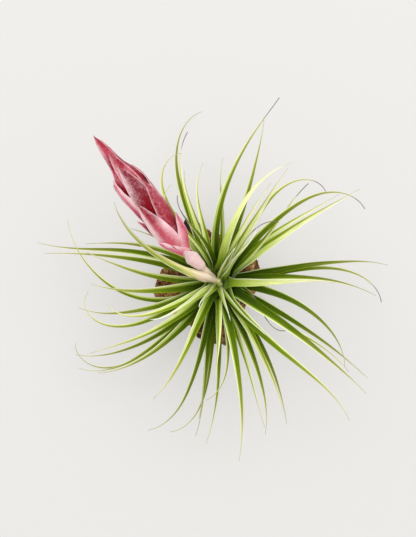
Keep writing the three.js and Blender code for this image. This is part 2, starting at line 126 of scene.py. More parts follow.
def bark_rings():
    """Rings of the chunk from the foot up its side, in over its top and down the socket. The
    radius follows the outline by angle, blurred by a bell curve. The side is scaled by shares
    that bulge and pinch with height, and the crags push it out. Lumps of grain noise move the
    skin away from the middle, and fissures are cut along the lines where coarser noise is near
    one half. The two ends are stained."""
    angle = np.arange(BARK_AROUND) * 2 * np.pi / BARK_AROUND
    known = np.arctan2(BARK_OUTLINE[:, 1], BARK_OUTLINE[:, 0])
    radius = np.interp(angle, known, np.hypot(*BARK_OUTLINE.T), period=2 * np.pi)
    spread = np.exp(-np.linspace(-2, 2, RIM_BLUR) ** 2)
    radius = np.convolve(np.tile(radius, 3), spread / spread.sum(), "same")[BARK_AROUND:-BARK_AROUND]
    rim_x, rim_y = radius * np.cos(angle), radius * np.sin(angle)

    level = np.linspace(0, 1, SIDE_ROWS)[:, None]
    z = level * (bark_height(rim_x, rim_y) - RIM_DROP)
    proud = np.interp(level, SIDE_HEIGHTS, SIDE_SHARES)
    proud = proud + np.where(level > 0, CRAG_DEPTH * crag(rim_x, rim_y, z) / radius, 0)
    side = np.stack([rim_x * proud, rim_y * proud, z], -1)

    edge = SOCKET_LIP * SOCKET_RADIUS / radius
    share = np.linspace(TOP_EDGE, 0, TOP_ROWS)[:, None]
    share = edge + share * (1 - edge)
    x, y = rim_x * share, rim_y * share
    top = np.stack([x, y, bark_height(x, y)], -1)

    rings = np.concatenate([side, top])
    seam = (0.6 * grain(rings, SEAM_SIZES[0], 1)
            + 0.4 * grain(rings * (1, 1, 0.6), SEAM_SIZES[1], 2))
    fissure = np.clip(1 - np.abs(seam - 0.5) / SEAM_WIDTH, 0, 1)
    lumps = 0.7 * grain(rings, LUMP_SIZES[0], 3) + 0.3 * grain(rings, LUMP_SIZES[1], 4) - 0.5
    outward = rings - np.array([0, 0, BARK_MIDDLE])
    outward /= np.linalg.norm(outward, axis=-1, keepdims=True)
    free = np.ones(len(rings))
    free[:3] = FOOT_FREE
    free[-3:] = LIP_FREE
    move = (LUMP_DEPTH * lumps - FISSURE_DEPTH * fissure) * free[:, None]
    rings = rings + outward * move[..., None]
    rings[..., 2] = np.maximum(rings[..., 2], 0)

    wall = np.stack([SOCKET_RADIUS * np.cos(angle), SOCKET_RADIUS * np.sin(angle)], -1)
    shaft = [np.concatenate([wall, np.full((BARK_AROUND, 1), height)], 1)
             for height in (SHAFT_TOP, SOCKET_FLOOR)]
    # Painted shade: 1 in the fissures and on the socket's wall, where the colour goes nearly black.
    depth = np.concatenate([fissure, np.ones((2, BARK_AROUND))])
    rings = np.concatenate([rings, shaft])
    stain = (STAIN_STRENGTH[0] * smooth(rings[..., 1], *STAINED_BACK)
             + STAIN_STRENGTH[1] * smooth(-rings[..., 1], *STAINED_FRONT))
    return rings, depth, stain


def skin_of(rings, **values):
    """A closed skin over closed rings of points: quads between neighbouring rings, and a fan
    from each end ring to its middle, turned so that every face looks out."""
    rows, around, _ = rings.shape
    points = np.concatenate([rings.reshape(-1, 3), rings[:1].mean(1), rings[-1:].mean(1)])
    row, step = np.meshgrid(np.arange(rows - 1), np.arange(around), indexing="ij")
    here = row * around + step
    beside = row * around + (step + 1) % around
    quads = np.stack([here, beside, beside + around, here + around], -1).reshape(-1, 4)
    step = np.arange(around)
    beside = (step + 1) % around
    last = (rows - 1) * around
    pole = np.full(around, rows * around)
    fans = np.concatenate([
        np.stack([pole, beside, step], -1),
        np.stack([pole + 1, last + step, last + beside], -1),
    ])
    corners = points[np.concatenate([quads[:, :3], quads[:, [0, 2, 3]], fans])]
    volume = np.einsum("ij,ij->", corners[:, 0], np.cross(corners[:, 1], corners[:, 2]))
    if volume < 0:
        quads, fans = quads[:, ::-1], fans[:, ::-1]
    spread = {}
    for name, value in values.items():
        value = np.broadcast_to(value, (rows, around)).astype(float)
        spread[name] = np.concatenate([value.ravel(), [value[0].mean(), value[-1].mean()]])
    return points, quads, fans, spread


def placed(name, data):
    """An object in the scene that holds a mesh, a light or a camera."""
    made = bpy.data.objects.new(name, data)
    bpy.context.scene.collection.objects.link(made)
    return made


def piece(name, skins, material, slot, *nodes):
    """One object from closed skins in millimetres, with their values as point attributes. It
    rides on the root body and stands for the CAD nodes that are named."""
    points = np.concatenate([skin[0] for skin in skins]) / 1000
    faces = []
    start = 0
    for skin in skins:
        faces += (skin[1] + start).tolist() + (skin[2] + start).tolist()
        start += len(skin[0])
    mesh = bpy.data.meshes.new(name)
    mesh.from_pydata(points.tolist(), [], faces)
    mesh.polygons.foreach_set("use_smooth", np.ones(len(faces), bool))
    for value in skins[0][3]:
        attribute = mesh.attributes.new(value, "FLOAT", "POINT")
        column = np.concatenate([skin[3][value] for skin in skins])
        attribute.data.foreach_set("value", column.astype(np.float32))
    mesh.materials.append(material)
    made = placed(name, mesh)
    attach(made, "root")
    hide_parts(*nodes)


def linear(code):
    """An sRGB hex colour as linear red, green and blue, with an alpha of 1."""
    share = np.array([int(code[i:i + 2], 16) for i in (1, 3, 5)]) / 255
    return (*np.where(share <= 0.04045, share / 12.92, ((share + 0.055) / 1.055) ** 2.4), 1.0)


def node(tree, kind, inputs=None, stops=None, **settings):
    """Adds one shader node with its settings, its colour stops as (place, hex colour) pairs,
    and its inputs, each a value or the socket that it is linked to."""
    made = tree.nodes.new("ShaderNode" + kind)
    for name, value in settings.items():
        setattr(made, name, value)
    if stops:
        elements = made.color_ramp.elements
        elements[0].position, elements[0].color = stops[0][0], linear(stops[0][1])
        elements[1].position, elements[1].color = stops[-1][0], linear(stops[-1][1])
        for place, code in stops[1:-1]:
            elements.new(place).color = linear(code)
    for name, value in (inputs or {}).items():
        if isinstance(value, bpy.types.NodeSocket):
            tree.links.new(value, made.inputs[name])
        else:
            made.inputs[name].default_value = value
    return made


def new_material(name):
    """An empty material and its node tree."""
    material = bpy.data.materials.new(name)
    material.use_nodes = True
    material.node_tree.nodes.clear()
    return material, material.node_tree


def surface(tree, colour, height, bump, roughness, ior, specular):
    """Ends a material: a bump of a strength and a distance in metres from a height, under a
    shader that isn't metal, linked to the output."""
    relief = node(tree, "Bump", {"Strength": bump[0], "Distance": bump[1], "Height": height})
    shader = node(tree, "BsdfPrincipled", {
        "Base Color": colour, "Roughness": roughness, "IOR": ior,
        "Specular IOR Level": specular, "Normal": relief.outputs["Normal"],
    })
    node(tree, "OutputMaterial", {"Surface": shader.outputs["BSDF"]})


# Cork is dead, air-filled bark: dull all over, sandy tan where rubbed, with orange patches, and
# shade is painted nearly black into its fissures and the socket. Its cells are 0.03 mm, far too
# fine to show, so the grit is drawn at about 0.8 mm, as coarse as the crumbs that break out of it.
def cork_material():
    material, tree = new_material("cork_bark_broken")
    place = node(tree, "TexCoord").outputs["Object"]
    patches = node(tree, "TexNoise", {"Vector": place, "Scale": 90, "Detail": 3, "Roughness": 0.6})
    rust = node(tree, "TexNoise", {"Vector": place, "Scale": 45, "Detail": 2})
    grit = node(tree, "TexNoise", {"Vector": place, "Scale": 600, "Detail": 4, "Roughness": 0.8})
    crumbs = node(tree, "TexVoronoi", {"Vector": place, "Scale": 620, "Randomness": 1.0})
    body = node(tree, "ValToRGB", {"Fac": patches.outputs["Fac"]}, stops=[
        (0.34, "#3C2516"), (0.43, "#7A5230"), (0.5, "#A97A4A"), (0.58, "#C49A66"), (0.7, "#D8B484"),
    ])
    rusty = node(tree, "MapRange", {"Value": rust.outputs["Fac"], "From Min": 0.5,
                                    "From Max": 0.62, "To Max": 0.55})
    warm = node(tree, "Mix", {0: rusty.outputs["Result"], 6: body.outputs["Color"],
                              7: linear("#C4763A")}, data_type="RGBA")
    speckle = node(tree, "ValToRGB", {"Fac": grit.outputs["Fac"]}, stops=[
        (0.4, "#4A382C"), (0.5, "#B8AEA2"), (0.58, "#FFFFFF"),
    ])
    coarse = node(tree, "Mix", {0: 0.9, 6: warm.outputs[2], 7: speckle.outputs["Color"]},
                  data_type="RGBA", blend_type="MULTIPLY")
    stain = node(tree, "Attribute", attribute_name="stain")
    blotch = node(tree, "MapRange", {"Value": patches.outputs["Fac"], "From Min": 0.62,
                                     "From Max": 0.42})
    dirty = node(tree, "Math", {0: stain.outputs["Fac"], 1: blotch.outputs["Result"]},
                 operation="MULTIPLY")
    stained = node(tree, "Mix", {0: dirty.outputs[0], 6: coarse.outputs[2],
                                 7: linear("#2E2622")}, data_type="RGBA")
    # Painted shade: the fissures and the socket are mixed towards nearly black.
    depth = node(tree, "Attribute", attribute_name="depth")
    hollow_shaded = node(tree, "Mix", {0: depth.outputs["Fac"], 6: stained.outputs[2],
                              7: linear("#20120D")}, data_type="RGBA")
    bumps = node(tree, "Math", {0: grit.outputs["Fac"], 1: crumbs.outputs["Distance"]},
                 operation="ADD")
    surface(tree, hollow_shaded.outputs[2], bumps.outputs[0], (0.9, 0.0006), 0.95, 1.45, 0.15)
    return material


rings, depth, stain = bark_rings()
piece("cork_chunk", [skin_of(rings, depth=depth, stain=stain)], cork_material(), "cork",
      "cork_bark")


# Stem: a short woody axis, wrapped by the bases of the leaves that grow from it. Where it shows,
# it is covered by the dry, fibrous remains of older leaf bases, split into ribs along its length.

STEM_FOOT = SOCKET_FLOOR
LOWEST_LEAF = 28.0
TIER_SPREAD = 26.0
STEM_TOP = LOWEST_LEAF + TIER_SPREAD - 0.6
STEM_RADIUS_LOW = 6.2
STEM_TAPER = 0.12
SEAT_GAP = 0.3
SHEATH_SINK = 0.6
STEM_AROUND = 96
STEM_ROWS = 90
COLLAR_FOOT = BARK_TOP - 1
COLLAR_TOP = BARK_TOP + 2
FIBRE_DEPTH = 0.18
FIBRE_WIDTH = 0.8
FIBRE_SQUEEZE = 0.12
FIBRE_SEED = 11


def stem_radius(z):
    """Radius of the stem at a height from the lowest leaf up, where it tapers evenly."""
    return STEM_RADIUS_LOW - STEM_TAPER * (z - LOWEST_LEAF)


def stem_rings():
    """Rings up the stem: the CAD profile, thinner by the leaf bases that cover it, with ribs
    of noise stretched eight times along the axis."""
    z = np.linspace(STEM_FOOT + SEAT_GAP, STEM_TOP, STEM_ROWS)
    socket = SOCKET_RADIUS - SEAT_GAP
    collar = STEM_RADIUS_LOW - SHEATH_SINK
    upper = stem_radius(np.array([LOWEST_LEAF, STEM_TOP])) - SHEATH_SINK
    radius = np.interp(z, [COLLAR_FOOT, COLLAR_TOP, LOWEST_LEAF, STEM_TOP],
                       [socket, collar, *upper])
    angle = np.arange(STEM_AROUND) * 2 * np.pi / STEM_AROUND
    ring = np.stack([np.cos(angle), np.sin(angle), np.zeros(STEM_AROUND)], -1)
    rings = ring * radius[:, None, None] + np.array([0, 0, 1]) * z[:, None, None]
    ribs = grain(rings * (1, 1, FIBRE_SQUEEZE), FIBRE_WIDTH, FIBRE_SEED) - 0.5
    free = np.where(z < BARK_TOP, 0, 1)[:, None]
    return rings + ring * (2 * FIBRE_DEPTH * ribs * free)[..., None]


# Dry leaf bases are dead, papery fibre: matt straw brown with darker splits between the fibres.
def fibre_material():
    material, tree = new_material("dry_leaf_base_fibre")
    place = node(tree, "TexCoord").outputs["Object"]
    along = node(tree, "Mapping", {"Vector": place, "Scale": (1, 1, 0.1)})
    fibres = node(tree, "TexNoise", {"Vector": along.outputs["Vector"], "Scale": 1400, "Detail": 3})
    body = node(tree, "ValToRGB", {"Fac": fibres.outputs["Fac"]}, stops=[
        (0.3, "#3B2A1C"), (0.48, "#7A6040"), (0.62, "#B49A6C"), (0.75, "#C9B78E"),
    ])
    surface(tree, body.outputs["Color"], fibres.outputs["Fac"], (0.6, 0.0003), 0.85, 1.45, 0.3)
    return material


piece("stem_axis", [skin_of(stem_rings())], fibre_material(), "stem_skin", "stem")


# Leaves: stiff, narrow blades, folded to a channel along the middle, that widen at the base to
# a sheath round the stem and narrow to a dry thread. Lower leaves spring from lower on the stem.

# A blade's row gives its node, azimuth, length in plan, sweep, hook and width, then the share
# of its width that is a flank painted pale as if lit (above 0 on its left, below 0 on its
# right), how brightly lit it is painted, and the share of its length that is dry. Azimuth,
# length, sweep and hook are rounded from a least-squares fit to points read off the photograph,
# and a search for an order without clashes sorted the rows. The other values were read or chosen.
BLADES = [
    (1, 115, 99, -11, -84, 4.1, 0.2, 0.35, 0.03),
    (2, -131, 89, -17, -50, 3.5, -0.3, 0.4, 0.03),
    (2, -134, 98, -2, -136, 3.2, -0.3, 0.4, 0.03),
    (3, -23, 94, -22, 3, 3.8, 0.2, 0.2, 0.03),
    (4, 107, 58, 13, -34, 2.7, 0.5, 0.75, 0.03),
    (5, 151, 98, 52, -41, 4.3, 0.3, 0.2, 0.03),
    (6, 10, 94, -4, -87, 3.8, 0.3, 0.4, 0.1),
    (7, 71, 89, 3, 10, 4.1, 0.35, 0.25, 0.03),
    (8, 113, 81, -7, -46, 3.2, -0.6, 0.65, 0.1),
    (9, -150, 101, -112, 1, 3.2, -0.4, 0.5, 0.02),
    (10, 12, 89, -5, -22, 4.6, 0.15, 0.15, 0.03),
    (11, 123, 79, 9, -129, 4.9, 0.5, 0.85, 0.03),
    (12, -97, 86, 10, -86, 3.2, -0.4, 0.55, 0.03),
    (13, 8, 83, -22, -15, 3.8, -0.25, 0.3, 0.04),
    (14, -149, 86, -9, -151, 3.8, -0.4, 0.5, 0.03),
    (15, 81, 62, 26, -28, 3.2, -0.5, 0.7, 0.03),
    (16, -101, 70, 12, -13, 4.9, -0.3, 0.2, 0.03),
    (16, -101, 80, 15, -23, 3.2, -0.2, 0.3, 0.03),
    (17, 141, 72, 54, -11, 3.8, -0.4, 0.45, 0.03),
    (18, 98, 105, -64, 21, 4.1, 0.4, 0.35, 0.11),
    (19, -51, 82, -26, -5, 4.1, -0.3, 0.2, 0.03),
    (20, -104, 88, 2, -67, 3.8, -0.3, 0.25, 0.03),
    (21, 105, 61, 1, -46, 3.5, 0.5, 0.7, 0.03),
    (22, -155, 73, -21, -26, 4.3, -0.35, 0.4, 0.03),
    (23, 159, 91, 27, -6, 3.8, -0.25, 0.25, 0.03),
    (24, 111, 58, 65, -145, 2.7, 0.5, 0.8, 0.03),
    (25, -88, 83, -7, -16, 3.5, -0.3, 0.3, 0.03),
    (26, 179, 68, -26, 2, 4.1, -0.4, 0.45, 0.02),
    (27, 98, 48, 74, -91, 2.7, 0.1, 0.2, 0.32),
    (28, 133, 51, 36, -5, 2.7, -0.3, 0.5, 0.03),
    (29, -170, 64, -14, -14, 4.9, -0.35, 0.35, 0.02),
    (30, -68, 77, -11, 5, 3.0, 0.5, 0.8, 0.03),
    (31, 58, 84, 10, -137, 3.8, 0.4, 0.5, 0.1),
    (32, -4, 85, -50, -35, 4.3, 0.25, 0.1, 0.03),
    (33, -62, 82, -13, -25, 4.3, -0.35, 0.15, 0.03),
    (34, 46, 76, -25, 9, 4.1, -0.6, 0.7, 0.04),
    (35, -125, 79, -29, -22, 4.9, -0.4, 0.35, 0.03),
    (36, -54, 73, -20, 2, 4.3, -0.5, 0.5, 0.03),
    (37, 38, 87, -10, 0, 5.4, -0.6, 0.65, 0.02),
    (38, -132, 84, -35, -24, 3.8, -0.3, 0.2, 0.03),
    (39, -77, 63, -17, -61, 3.0, -0.4, 0.5, 0.03),
    (40, -36, 81, 18, -37, 2.7, 0.3, 0.5, 0.03),
    (41, 36, 67, 37, -31, 3.0, -0.4, 0.6, 0.12),
    (42, 82, 75, -39, -30, 4.3, -1.0, 0.85, 0.05),
    (43, -74, 92, -16, -9, 4.6, -0.3, 0.35, 0.03),
    (44, -1, 43, -135, 148, 1.6, 0.0, 0.2, 0.6),
    (45, -135, 75, -37, 8, 4.1, -0.5, 0.6, 0.03),
    (46, 51, 95, -15, -99, 4.1, 0.3, 0.2, 0.08),
    (47, -87, 47, -9, -7, 3.2, 0.5, 0.85, 0.02),
    (48, -30, 95, -14, -1, 5.1, -0.25, 0.25, 0.03),
    (49, -151, 61, -10, -77, 4.1, -0.5, 0.55, 0.03),
    (50, 69, 56, -14, -2, 3.2, -0.8, 0.8, 0.03),
    (50, 60, 67, -1, -5, 4.9, -0.7, 0.75, 0.03),
    (51, -55, 97, 38, -51, 4.3, 0.3, 0.4, 0.03),
    (52, -118, 67, 10, -32, 4.9, -0.45, 0.55, 0.02),
    (53, -2, 58, 12, -21, 4.3, 1.0, 0.85, 0.02),
]
CLIMB = (9, 54)
STEEPNESS = (0.35, 1.95)
SAG = (24, 17)
SAG_REACH = 95
TIP_LIFT = 7
GOLDEN_TURN = 0.618
TOP_NODE = 53
LEAF_FINE = 140
LEAF_STRIDE = 2
LEAF_THICKNESS = (1.1, 0.35)
EDGE_THICKNESS = 0.18
THINNING_POWER = 0.7
MOST_THICKNESS_SHARE = 1.2
CHANNEL_DEPTH = (0.3, 0.5)
CHANNEL_OPEN = 0.12
CHANNEL_POWER = 1.4
ACROSS = 12
SHOULDER = 0.2
TAPER_POWER = 1.2
THREAD_SHARE = 0.5
WITHERED_SHARE = 0.15
LEAST_HALF_WIDTH = 0.22
FRINGE = 0.2
SUNNY_SIDE = 0.17
ALL_LIGHTER = 0.05
EDGE_PALER = 0.3
PALE_EDGE = (0.7, 0.95)
BODY_LIGHT = 0.45
FLANK_LIGHT = (0.55, 0.9)
FLANK_BLUR = 0.15
MOSTLY_GREEN = 0.07
GREEN_TIP_GREY = 0.35
DRY_BEFORE = 0.05
DRY_PAST = 0.02
TWIST = 42
WAVER = 0.9
WAVES_ALONG = (1.2, 2.2)
SHEATH_LENGTH = 6.0
SHEATH_HALF_WIDTH = 3.7
SHEATH_FOOT_SHARE = 0.75
SHEATH_FADE = 1.4
SHEATH_LEAN = 0.45
SHEATH_CUP = 0.25
SHEATH_THICKNESS = 0.5
SHEATH_EDGE = 0.12
SHEATH_SHOULDER = 1.2
SHEATH_ROWS = 9
CLASP_END = 0.1
LEAF_ROOT_SHARE = 0.95


def between(pair, share):
    """The value at a share of the way from the first of a pair to the second."""
    return pair[0] + (pair[1] - pair[0]) * share


def leaf_height(tier, distance):
    """Height of a leaf at a distance from the axis: its base, plus a climb that levels out as
    one minus a falling exponential, minus a sag that grows with the distance squared."""
    base = LOWEST_LEAF + TIER_SPREAD * tier
    climb = between(CLIMB, tier)
    clear = np.maximum(distance - stem_radius(base), 0)
    rise = climb * (1 - np.exp(-between(STEEPNESS, tier) * clear / climb))
    return base + rise - between(SAG, tier) * (distance / SAG_REACH) ** 2


def leaf_line(azimuth, length, sweep, hook, lift, tier, start):
    """Centre line of a blade. In plan it is the sum of short steps whose heading is the
    azimuth, plus the sweep times s, plus the hook times s to the fourth. Its height is the
    tier's, plus the lift times s cubed."""
    middle = (np.arange(LEAF_FINE) + 0.5) / LEAF_FINE
    heading = np.radians(azimuth + sweep * middle + hook * middle ** 4)
    steps = np.stack([np.cos(heading), np.sin(heading)], -1) * length / LEAF_FINE
    root = start * np.array([[np.cos(np.radians(azimuth)), np.sin(np.radians(azimuth))]])
    plan = np.concatenate([root, root + np.cumsum(steps, 0)])[::LEAF_STRIDE]
    s = np.linspace(0, 1, len(plan))
    height = leaf_height(tier, np.hypot(*plan.T)) + lift * s ** 3
    return np.column_stack([plan, height]), s


def left_and_over(along):
    """Unit vectors to the level left of a direction, and over its upper face."""
    left = np.cross([0, 0, 1], along)
    left /= np.linalg.norm(left, axis=1, keepdims=True)
    return left, np.cross(along, left)


def frames_along(line):
    """Unit vectors along a line, to its level left and over its upper face."""
    along = np.gradient(line, axis=0)
    along /= np.linalg.norm(along, axis=1, keepdims=True)
    return along, *left_and_over(along)


def turned(left, over, angle):
    """The two vectors across a line, turned about it by an angle from the left to the over."""
    return (left * np.cos(angle) + over * np.sin(angle),
            over * np.cos(angle) - left * np.sin(angle))


def there_and_back(steps):
    """Places round a thin section: u is the cosine of an angle that runs evenly from 0 to half
    a turn over the upper face, and back under the lower one. The second array is 0 on the
    upper face and 1 on the lower."""
    u = np.cos(np.arange(steps + 1) * np.pi / steps)
    return (np.concatenate([u, u[-2:0:-1]]),
            np.concatenate([np.zeros(steps + 1), np.ones(steps - 1)]))


def blade_rings(line, s, half, twist, sheath):
    """Rings of a channelled blade. Across it u runs from 1 at the left edge to -1 at the right
    one and back: the upper face rises from the middle by the channel's depth times the half
    width times the size of u to the power 1.4, and the lower face lies under it by the
    thickness, which thins to the edges. The section turns about the line by the twist times s
    squared. Near the stem it turns into an arc that clasps it, and goes on down the stem as a
    sheath."""
    side, over = turned(*frames_along(line)[1:], np.radians(twist) * s[:, None] ** 2)
    u, face = there_and_back(ACROSS)
    rise = between(CHANNEL_DEPTH, s)[:, None] * np.abs(u) ** CHANNEL_POWER
    rise = rise * smooth(s, 0, CHANNEL_OPEN)[:, None]
    middle = between(LEAF_THICKNESS, s ** THINNING_POWER)[:, None]
    most = half[:, None] * MOST_THICKNESS_SHARE
    drop = face * np.minimum(middle * (1 - u ** 2) + EDGE_THICKNESS, most)
    rings = (line[:, None] + side[:, None] * (half[:, None] * u)[..., None]
             + over[:, None] * (half[:, None] * rise - drop)[..., None])
    if not sheath:
        return rings, u, face, s
    azimuth = np.arctan2(line[0, 1], line[0, 0])
    clasp = 1 - smooth(s, 0, CLASP_END)
    down = -np.linspace(1, 0, SHEATH_ROWS, endpoint=False)
    path = np.concatenate([down, s])
    share = np.concatenate([1 + down, np.ones(len(s))])
    foot = line[0, 2] + np.concatenate([down * SHEATH_LENGTH, line[:, 2] - line[0, 2]])
    round_half = SHEATH_HALF_WIDTH * between((SHEATH_FOOT_SHARE, 1), share)
    reach = np.hypot(line[0, 0], line[0, 1])
    lean = np.maximum(foot - line[0, 2], 0) * SHEATH_LEAN
    distance = reach + (share - 1) * SHEATH_FADE + lean
    angle = azimuth + (round_half / reach)[:, None] * u
    thickness = np.minimum(SHEATH_THICKNESS * (1 - u ** 2) + SHEATH_EDGE, SHEATH_THICKNESS)
    wall = distance[:, None] + SHEATH_CUP * u ** 2 - face * thickness
    arc = np.stack([wall * np.cos(angle), wall * np.sin(angle),
                    np.broadcast_to(foot[:, None] - SHEATH_SHOULDER * u ** 2, wall.shape)], -1)
    weight = np.concatenate([np.ones(SHEATH_ROWS), clasp])[:, None, None]
    blade = np.concatenate([np.repeat(rings[:1], SHEATH_ROWS, 0), rings])
    return arc * weight + blade * (1 - weight), u, face, path


def leaf_skin(row, order, lift, tier, start, root_share, sheath):
    """One leaf as a closed skin, with its values: how far along and across it each point is,
    which face it is on, how pale and how lit it is painted, and how dry it is. Light is painted
    into it: one flank is painted pale as if lit, each leaf is painted as lit by its own amount,
    and a leaf is painted lighter the more it points to +Y, towards the lamps. Its edges are paler
    than its middle. Its half width grows evenly from the root to the shoulder and falls by a power
    to the tip, widened by a fringe of scales and shrunk where it is dry. Its line wavers sideways
    by a sine wave that grows with s squared and dies out at the tip."""
    azimuth, length, sweep, hook, width, lit_flank, light, dry = row
    draw = np.random.default_rng(order)
    line, s = leaf_line(azimuth, length, sweep, hook, lift, tier, start)
    waves = draw.uniform(*WAVES_ALONG) * s + draw.uniform()
    waver = WAVER * length / SAG_REACH * s ** 2 * (1 - s) * np.sin(2 * np.pi * waves)
    line += frames_along(line)[1] * waver[:, None]
    share = np.where(s < SHOULDER, between((root_share, 1), s / SHOULDER),
                     ((1 - s) / (1 - SHOULDER)) ** TAPER_POWER)
    dries = 1 - dry - DRY_BEFORE, 1 - dry + DRY_PAST
    withered = dry > MOSTLY_GREEN
    shrunk = 1 - (WITHERED_SHARE if withered else THREAD_SHARE) * smooth(s, *dries)
    half = np.maximum(width / 2 * share * (1 + FRINGE * s), LEAST_HALF_WIDTH) * shrunk
    twist = draw.uniform(-TWIST, TWIST)
    rings, u, face, path = blade_rings(line, s, half, twist, sheath)
    # Painted light: the lit flank, the leaf's own lit amount and the pull towards +Y make it paler
    # as if lit; the paler edges are its own.
    side = -u if lit_flank < 0 else u
    start_of_flank = 1 - 2 * abs(lit_flank)
    pale = smooth(side, start_of_flank - FLANK_BLUR, start_of_flank + FLANK_BLUR)
    light = np.clip(light + ALL_LIGHTER + SUNNY_SIDE * np.sin(np.radians(azimuth)), 0, 1)
    pale = BODY_LIGHT * light + between(FLANK_LIGHT, light) * pale
    pale = np.clip(pale + EDGE_PALER * smooth(np.abs(u), *PALE_EDGE), 0, 1)
    grey = 1 if withered else GREEN_TIP_GREY
    return skin_of(rings, along=path[:, None], across=np.abs(u), side=side, under=face,
                   pale=pale, dry=grey * smooth(path, *dries)[:, None], tone=draw.uniform())


def drawn_lines(tree, read, colour, stretch, scale, roughness, tones):
    """Scales a colour, from one tone to another, by noise drawn out along the blade. Gives the
    scaled colour and the noise."""
    grid = node(tree, "CombineXYZ", {"X": read["side"], "Y": read["along"], "Z": read["tone"]})
    lines = node(tree, "Mapping", {"Vector": grid.outputs["Vector"], "Scale": stretch})
    noise = node(tree, "TexNoise", {"Vector": lines.outputs["Vector"], "Scale": scale,
                                    "Detail": 4, "Roughness": roughness})
    dark = node(tree, "MapRange", {"Value": noise.outputs["Fac"], "From Min": 0.3,
                                   "From Max": 0.7, "To Min": tones[0], "To Max": tones[1]})
    lined = node(tree, "VectorMath", {0: colour, "Scale": dark.outputs["Result"]},
                 operation="SCALE")
    return lined.outputs["Vector"], noise.outputs["Fac"]


# Leaf skin under silvery scales: dull and waxy, deep green in the channel, with thin pale
# margins. Light and shade are painted in: one flank is painted lime as if lit, the rest and the
# foot of the blade are painted dark as shade, and the margin on the lit flank is a painted
# highlight that fades towards the foot. The scales that cover it are 0.2 mm, too fine to show,
# so they are drawn as streaks about 0.5 mm wide.
def leaf_material(name, deep, fresh, lime, margin):
    material, tree = new_material(name)
    read = {value: node(tree, "Attribute", attribute_name=value).outputs["Fac"]
            for value in ("along", "across", "side", "under", "pale", "dry", "tone")}
    colours = [node(tree, "ValToRGB", {"Fac": read["along"]}, stops=stops).outputs["Color"]
               for stops in (deep, fresh, lime)]
    lower = node(tree, "MapRange", {"Value": read["pale"], "From Max": 0.5})
    upper = node(tree, "MapRange", {"Value": read["pale"], "From Min": 0.5})
    green = node(tree, "Mix", {0: lower.outputs["Result"], 6: colours[0], 7: colours[1]},
                 data_type="RGBA")
    body = node(tree, "Mix", {0: upper.outputs["Result"], 6: green.outputs[2], 7: colours[2]},
                data_type="RGBA")
    shift = node(tree, "MapRange", {"Value": read["tone"], "To Min": 0.82, "To Max": 1.12})
    toned = node(tree, "VectorMath", {0: body.outputs[2], "Scale": shift.outputs["Result"]},
                 operation="SCALE")
    lined, streaks = drawn_lines(tree, read, toned.outputs["Vector"], (6, 5, 60), 1.6, 0.65,
                                 (0.6, 1.3))
    place = node(tree, "TexCoord").outputs["Object"]
    scurf = node(tree, "TexNoise", {"Vector": place, "Scale": 1500, "Detail": 3})
    powder = node(tree, "MapRange", {"Value": scurf.outputs["Fac"], "From Min": 0.52,
                                     "From Max": 0.75, "To Max": 0.06})
    dusty = node(tree, "Mix", {0: powder.outputs["Result"], 6: lined, 7: linear("#D6DEAC")},
                 data_type="RGBA")
    back = node(tree, "Math", {0: read["under"], 1: 0.35}, operation="MULTIPLY")
    backed = node(tree, "Mix", {0: back.outputs[0], 6: dusty.outputs[2], 7: linear("#93A45C")},
                  data_type="RGBA")
    # Painted highlight: the pale margin shows fully only on the lit flank, and is painted fainter
    # towards the shaded foot.
    edge = node(tree, "MapRange", {"Value": read["across"], "From Min": 0.72, "From Max": 0.88})
    lit_side_margin = node(tree, "MapRange", {"Value": read["side"], "From Min": 0, "From Max": 0.4,
                                     "To Max": 0.85})
    clear = node(tree, "MapRange", {"Value": read["along"], "From Max": 0.3, "To Min": 0.15})
    margin_highlight = node(tree, "Math", {0: lit_side_margin.outputs["Result"], 1: clear.outputs["Result"]},
                  operation="MULTIPLY")
    edge_highlight = node(tree, "Math", {0: edge.outputs["Result"], 1: margin_highlight.outputs[0]},
               operation="MULTIPLY")
    edged = node(tree, "Mix", {0: edge_highlight.outputs[0], 6: backed.outputs[2], 7: linear(margin)},
                 data_type="RGBA")
    foot = node(tree, "MapRange", {"Value": read["along"], "From Min": -0.1, "From Max": -0.5})
    sheathed = node(tree, "Mix", {0: foot.outputs["Result"], 6: edged.outputs[2],
                                  7: linear("#A58F62")}, data_type="RGBA")
    dried = node(tree, "Mix", {0: read["dry"], 6: sheathed.outputs[2], 7: linear("#7A6E6A")},
                 data_type="RGBA")
    surface(tree, dried.outputs[2], streaks, (0.35, 0.0002), 0.6, 1.42, 0.06)
    return material


# The dark first stops, at the blade's foot, are painted shade; the lime ramp is the flank painted as
# lit.
grown_leaf = leaf_material(
    "air_plant_leaf",
    [(0.0, "#0C1A00"), (0.1, "#1E3200"), (0.25, "#344E02"), (0.45, "#465E06"), (0.65, "#727F2A"),
     (0.8, "#9C9F52"), (0.92, "#BCBA78"), (1.0, "#D0CB98")],
    [(0.0, "#203800"), (0.1, "#426000"), (0.25, "#708A06"), (0.45, "#90A61C"), (0.65, "#B4BA52"),
     (0.8, "#C8C976"), (0.92, "#D0CE86"), (1.0, "#DCD8A4")],
    [(0.0, "#3E5C04"), (0.1, "#90AC2C"), (0.25, "#CCDC74"), (0.45, "#E6EE9E"), (0.65, "#ECEEB0"),
     (0.8, "#ECEABC"), (1.0, "#EAE4C2")],
    "#FAFCDC",
)
for number in range(1, TOP_NODE + 1):
    tier = (number - 1) / (TOP_NODE - 1)
    start = stem_radius(LOWEST_LEAF + TIER_SPREAD * tier) + SEAT_GAP
    lift = TIP_LIFT * (2 * ((number - 1) * GOLDEN_TURN % 1) - 1)
    skins = [leaf_skin(row[1:], order, lift, tier, start, LEAF_ROOT_SHARE, sheath=True)
             for order, row in enumerate(BLADES) if row[0] == number]
    leaf_name = f"leaf_{number:02d}"
    piece(leaf_name + "_blade", skins, grown_leaf, "leaf_green", leaf_name)
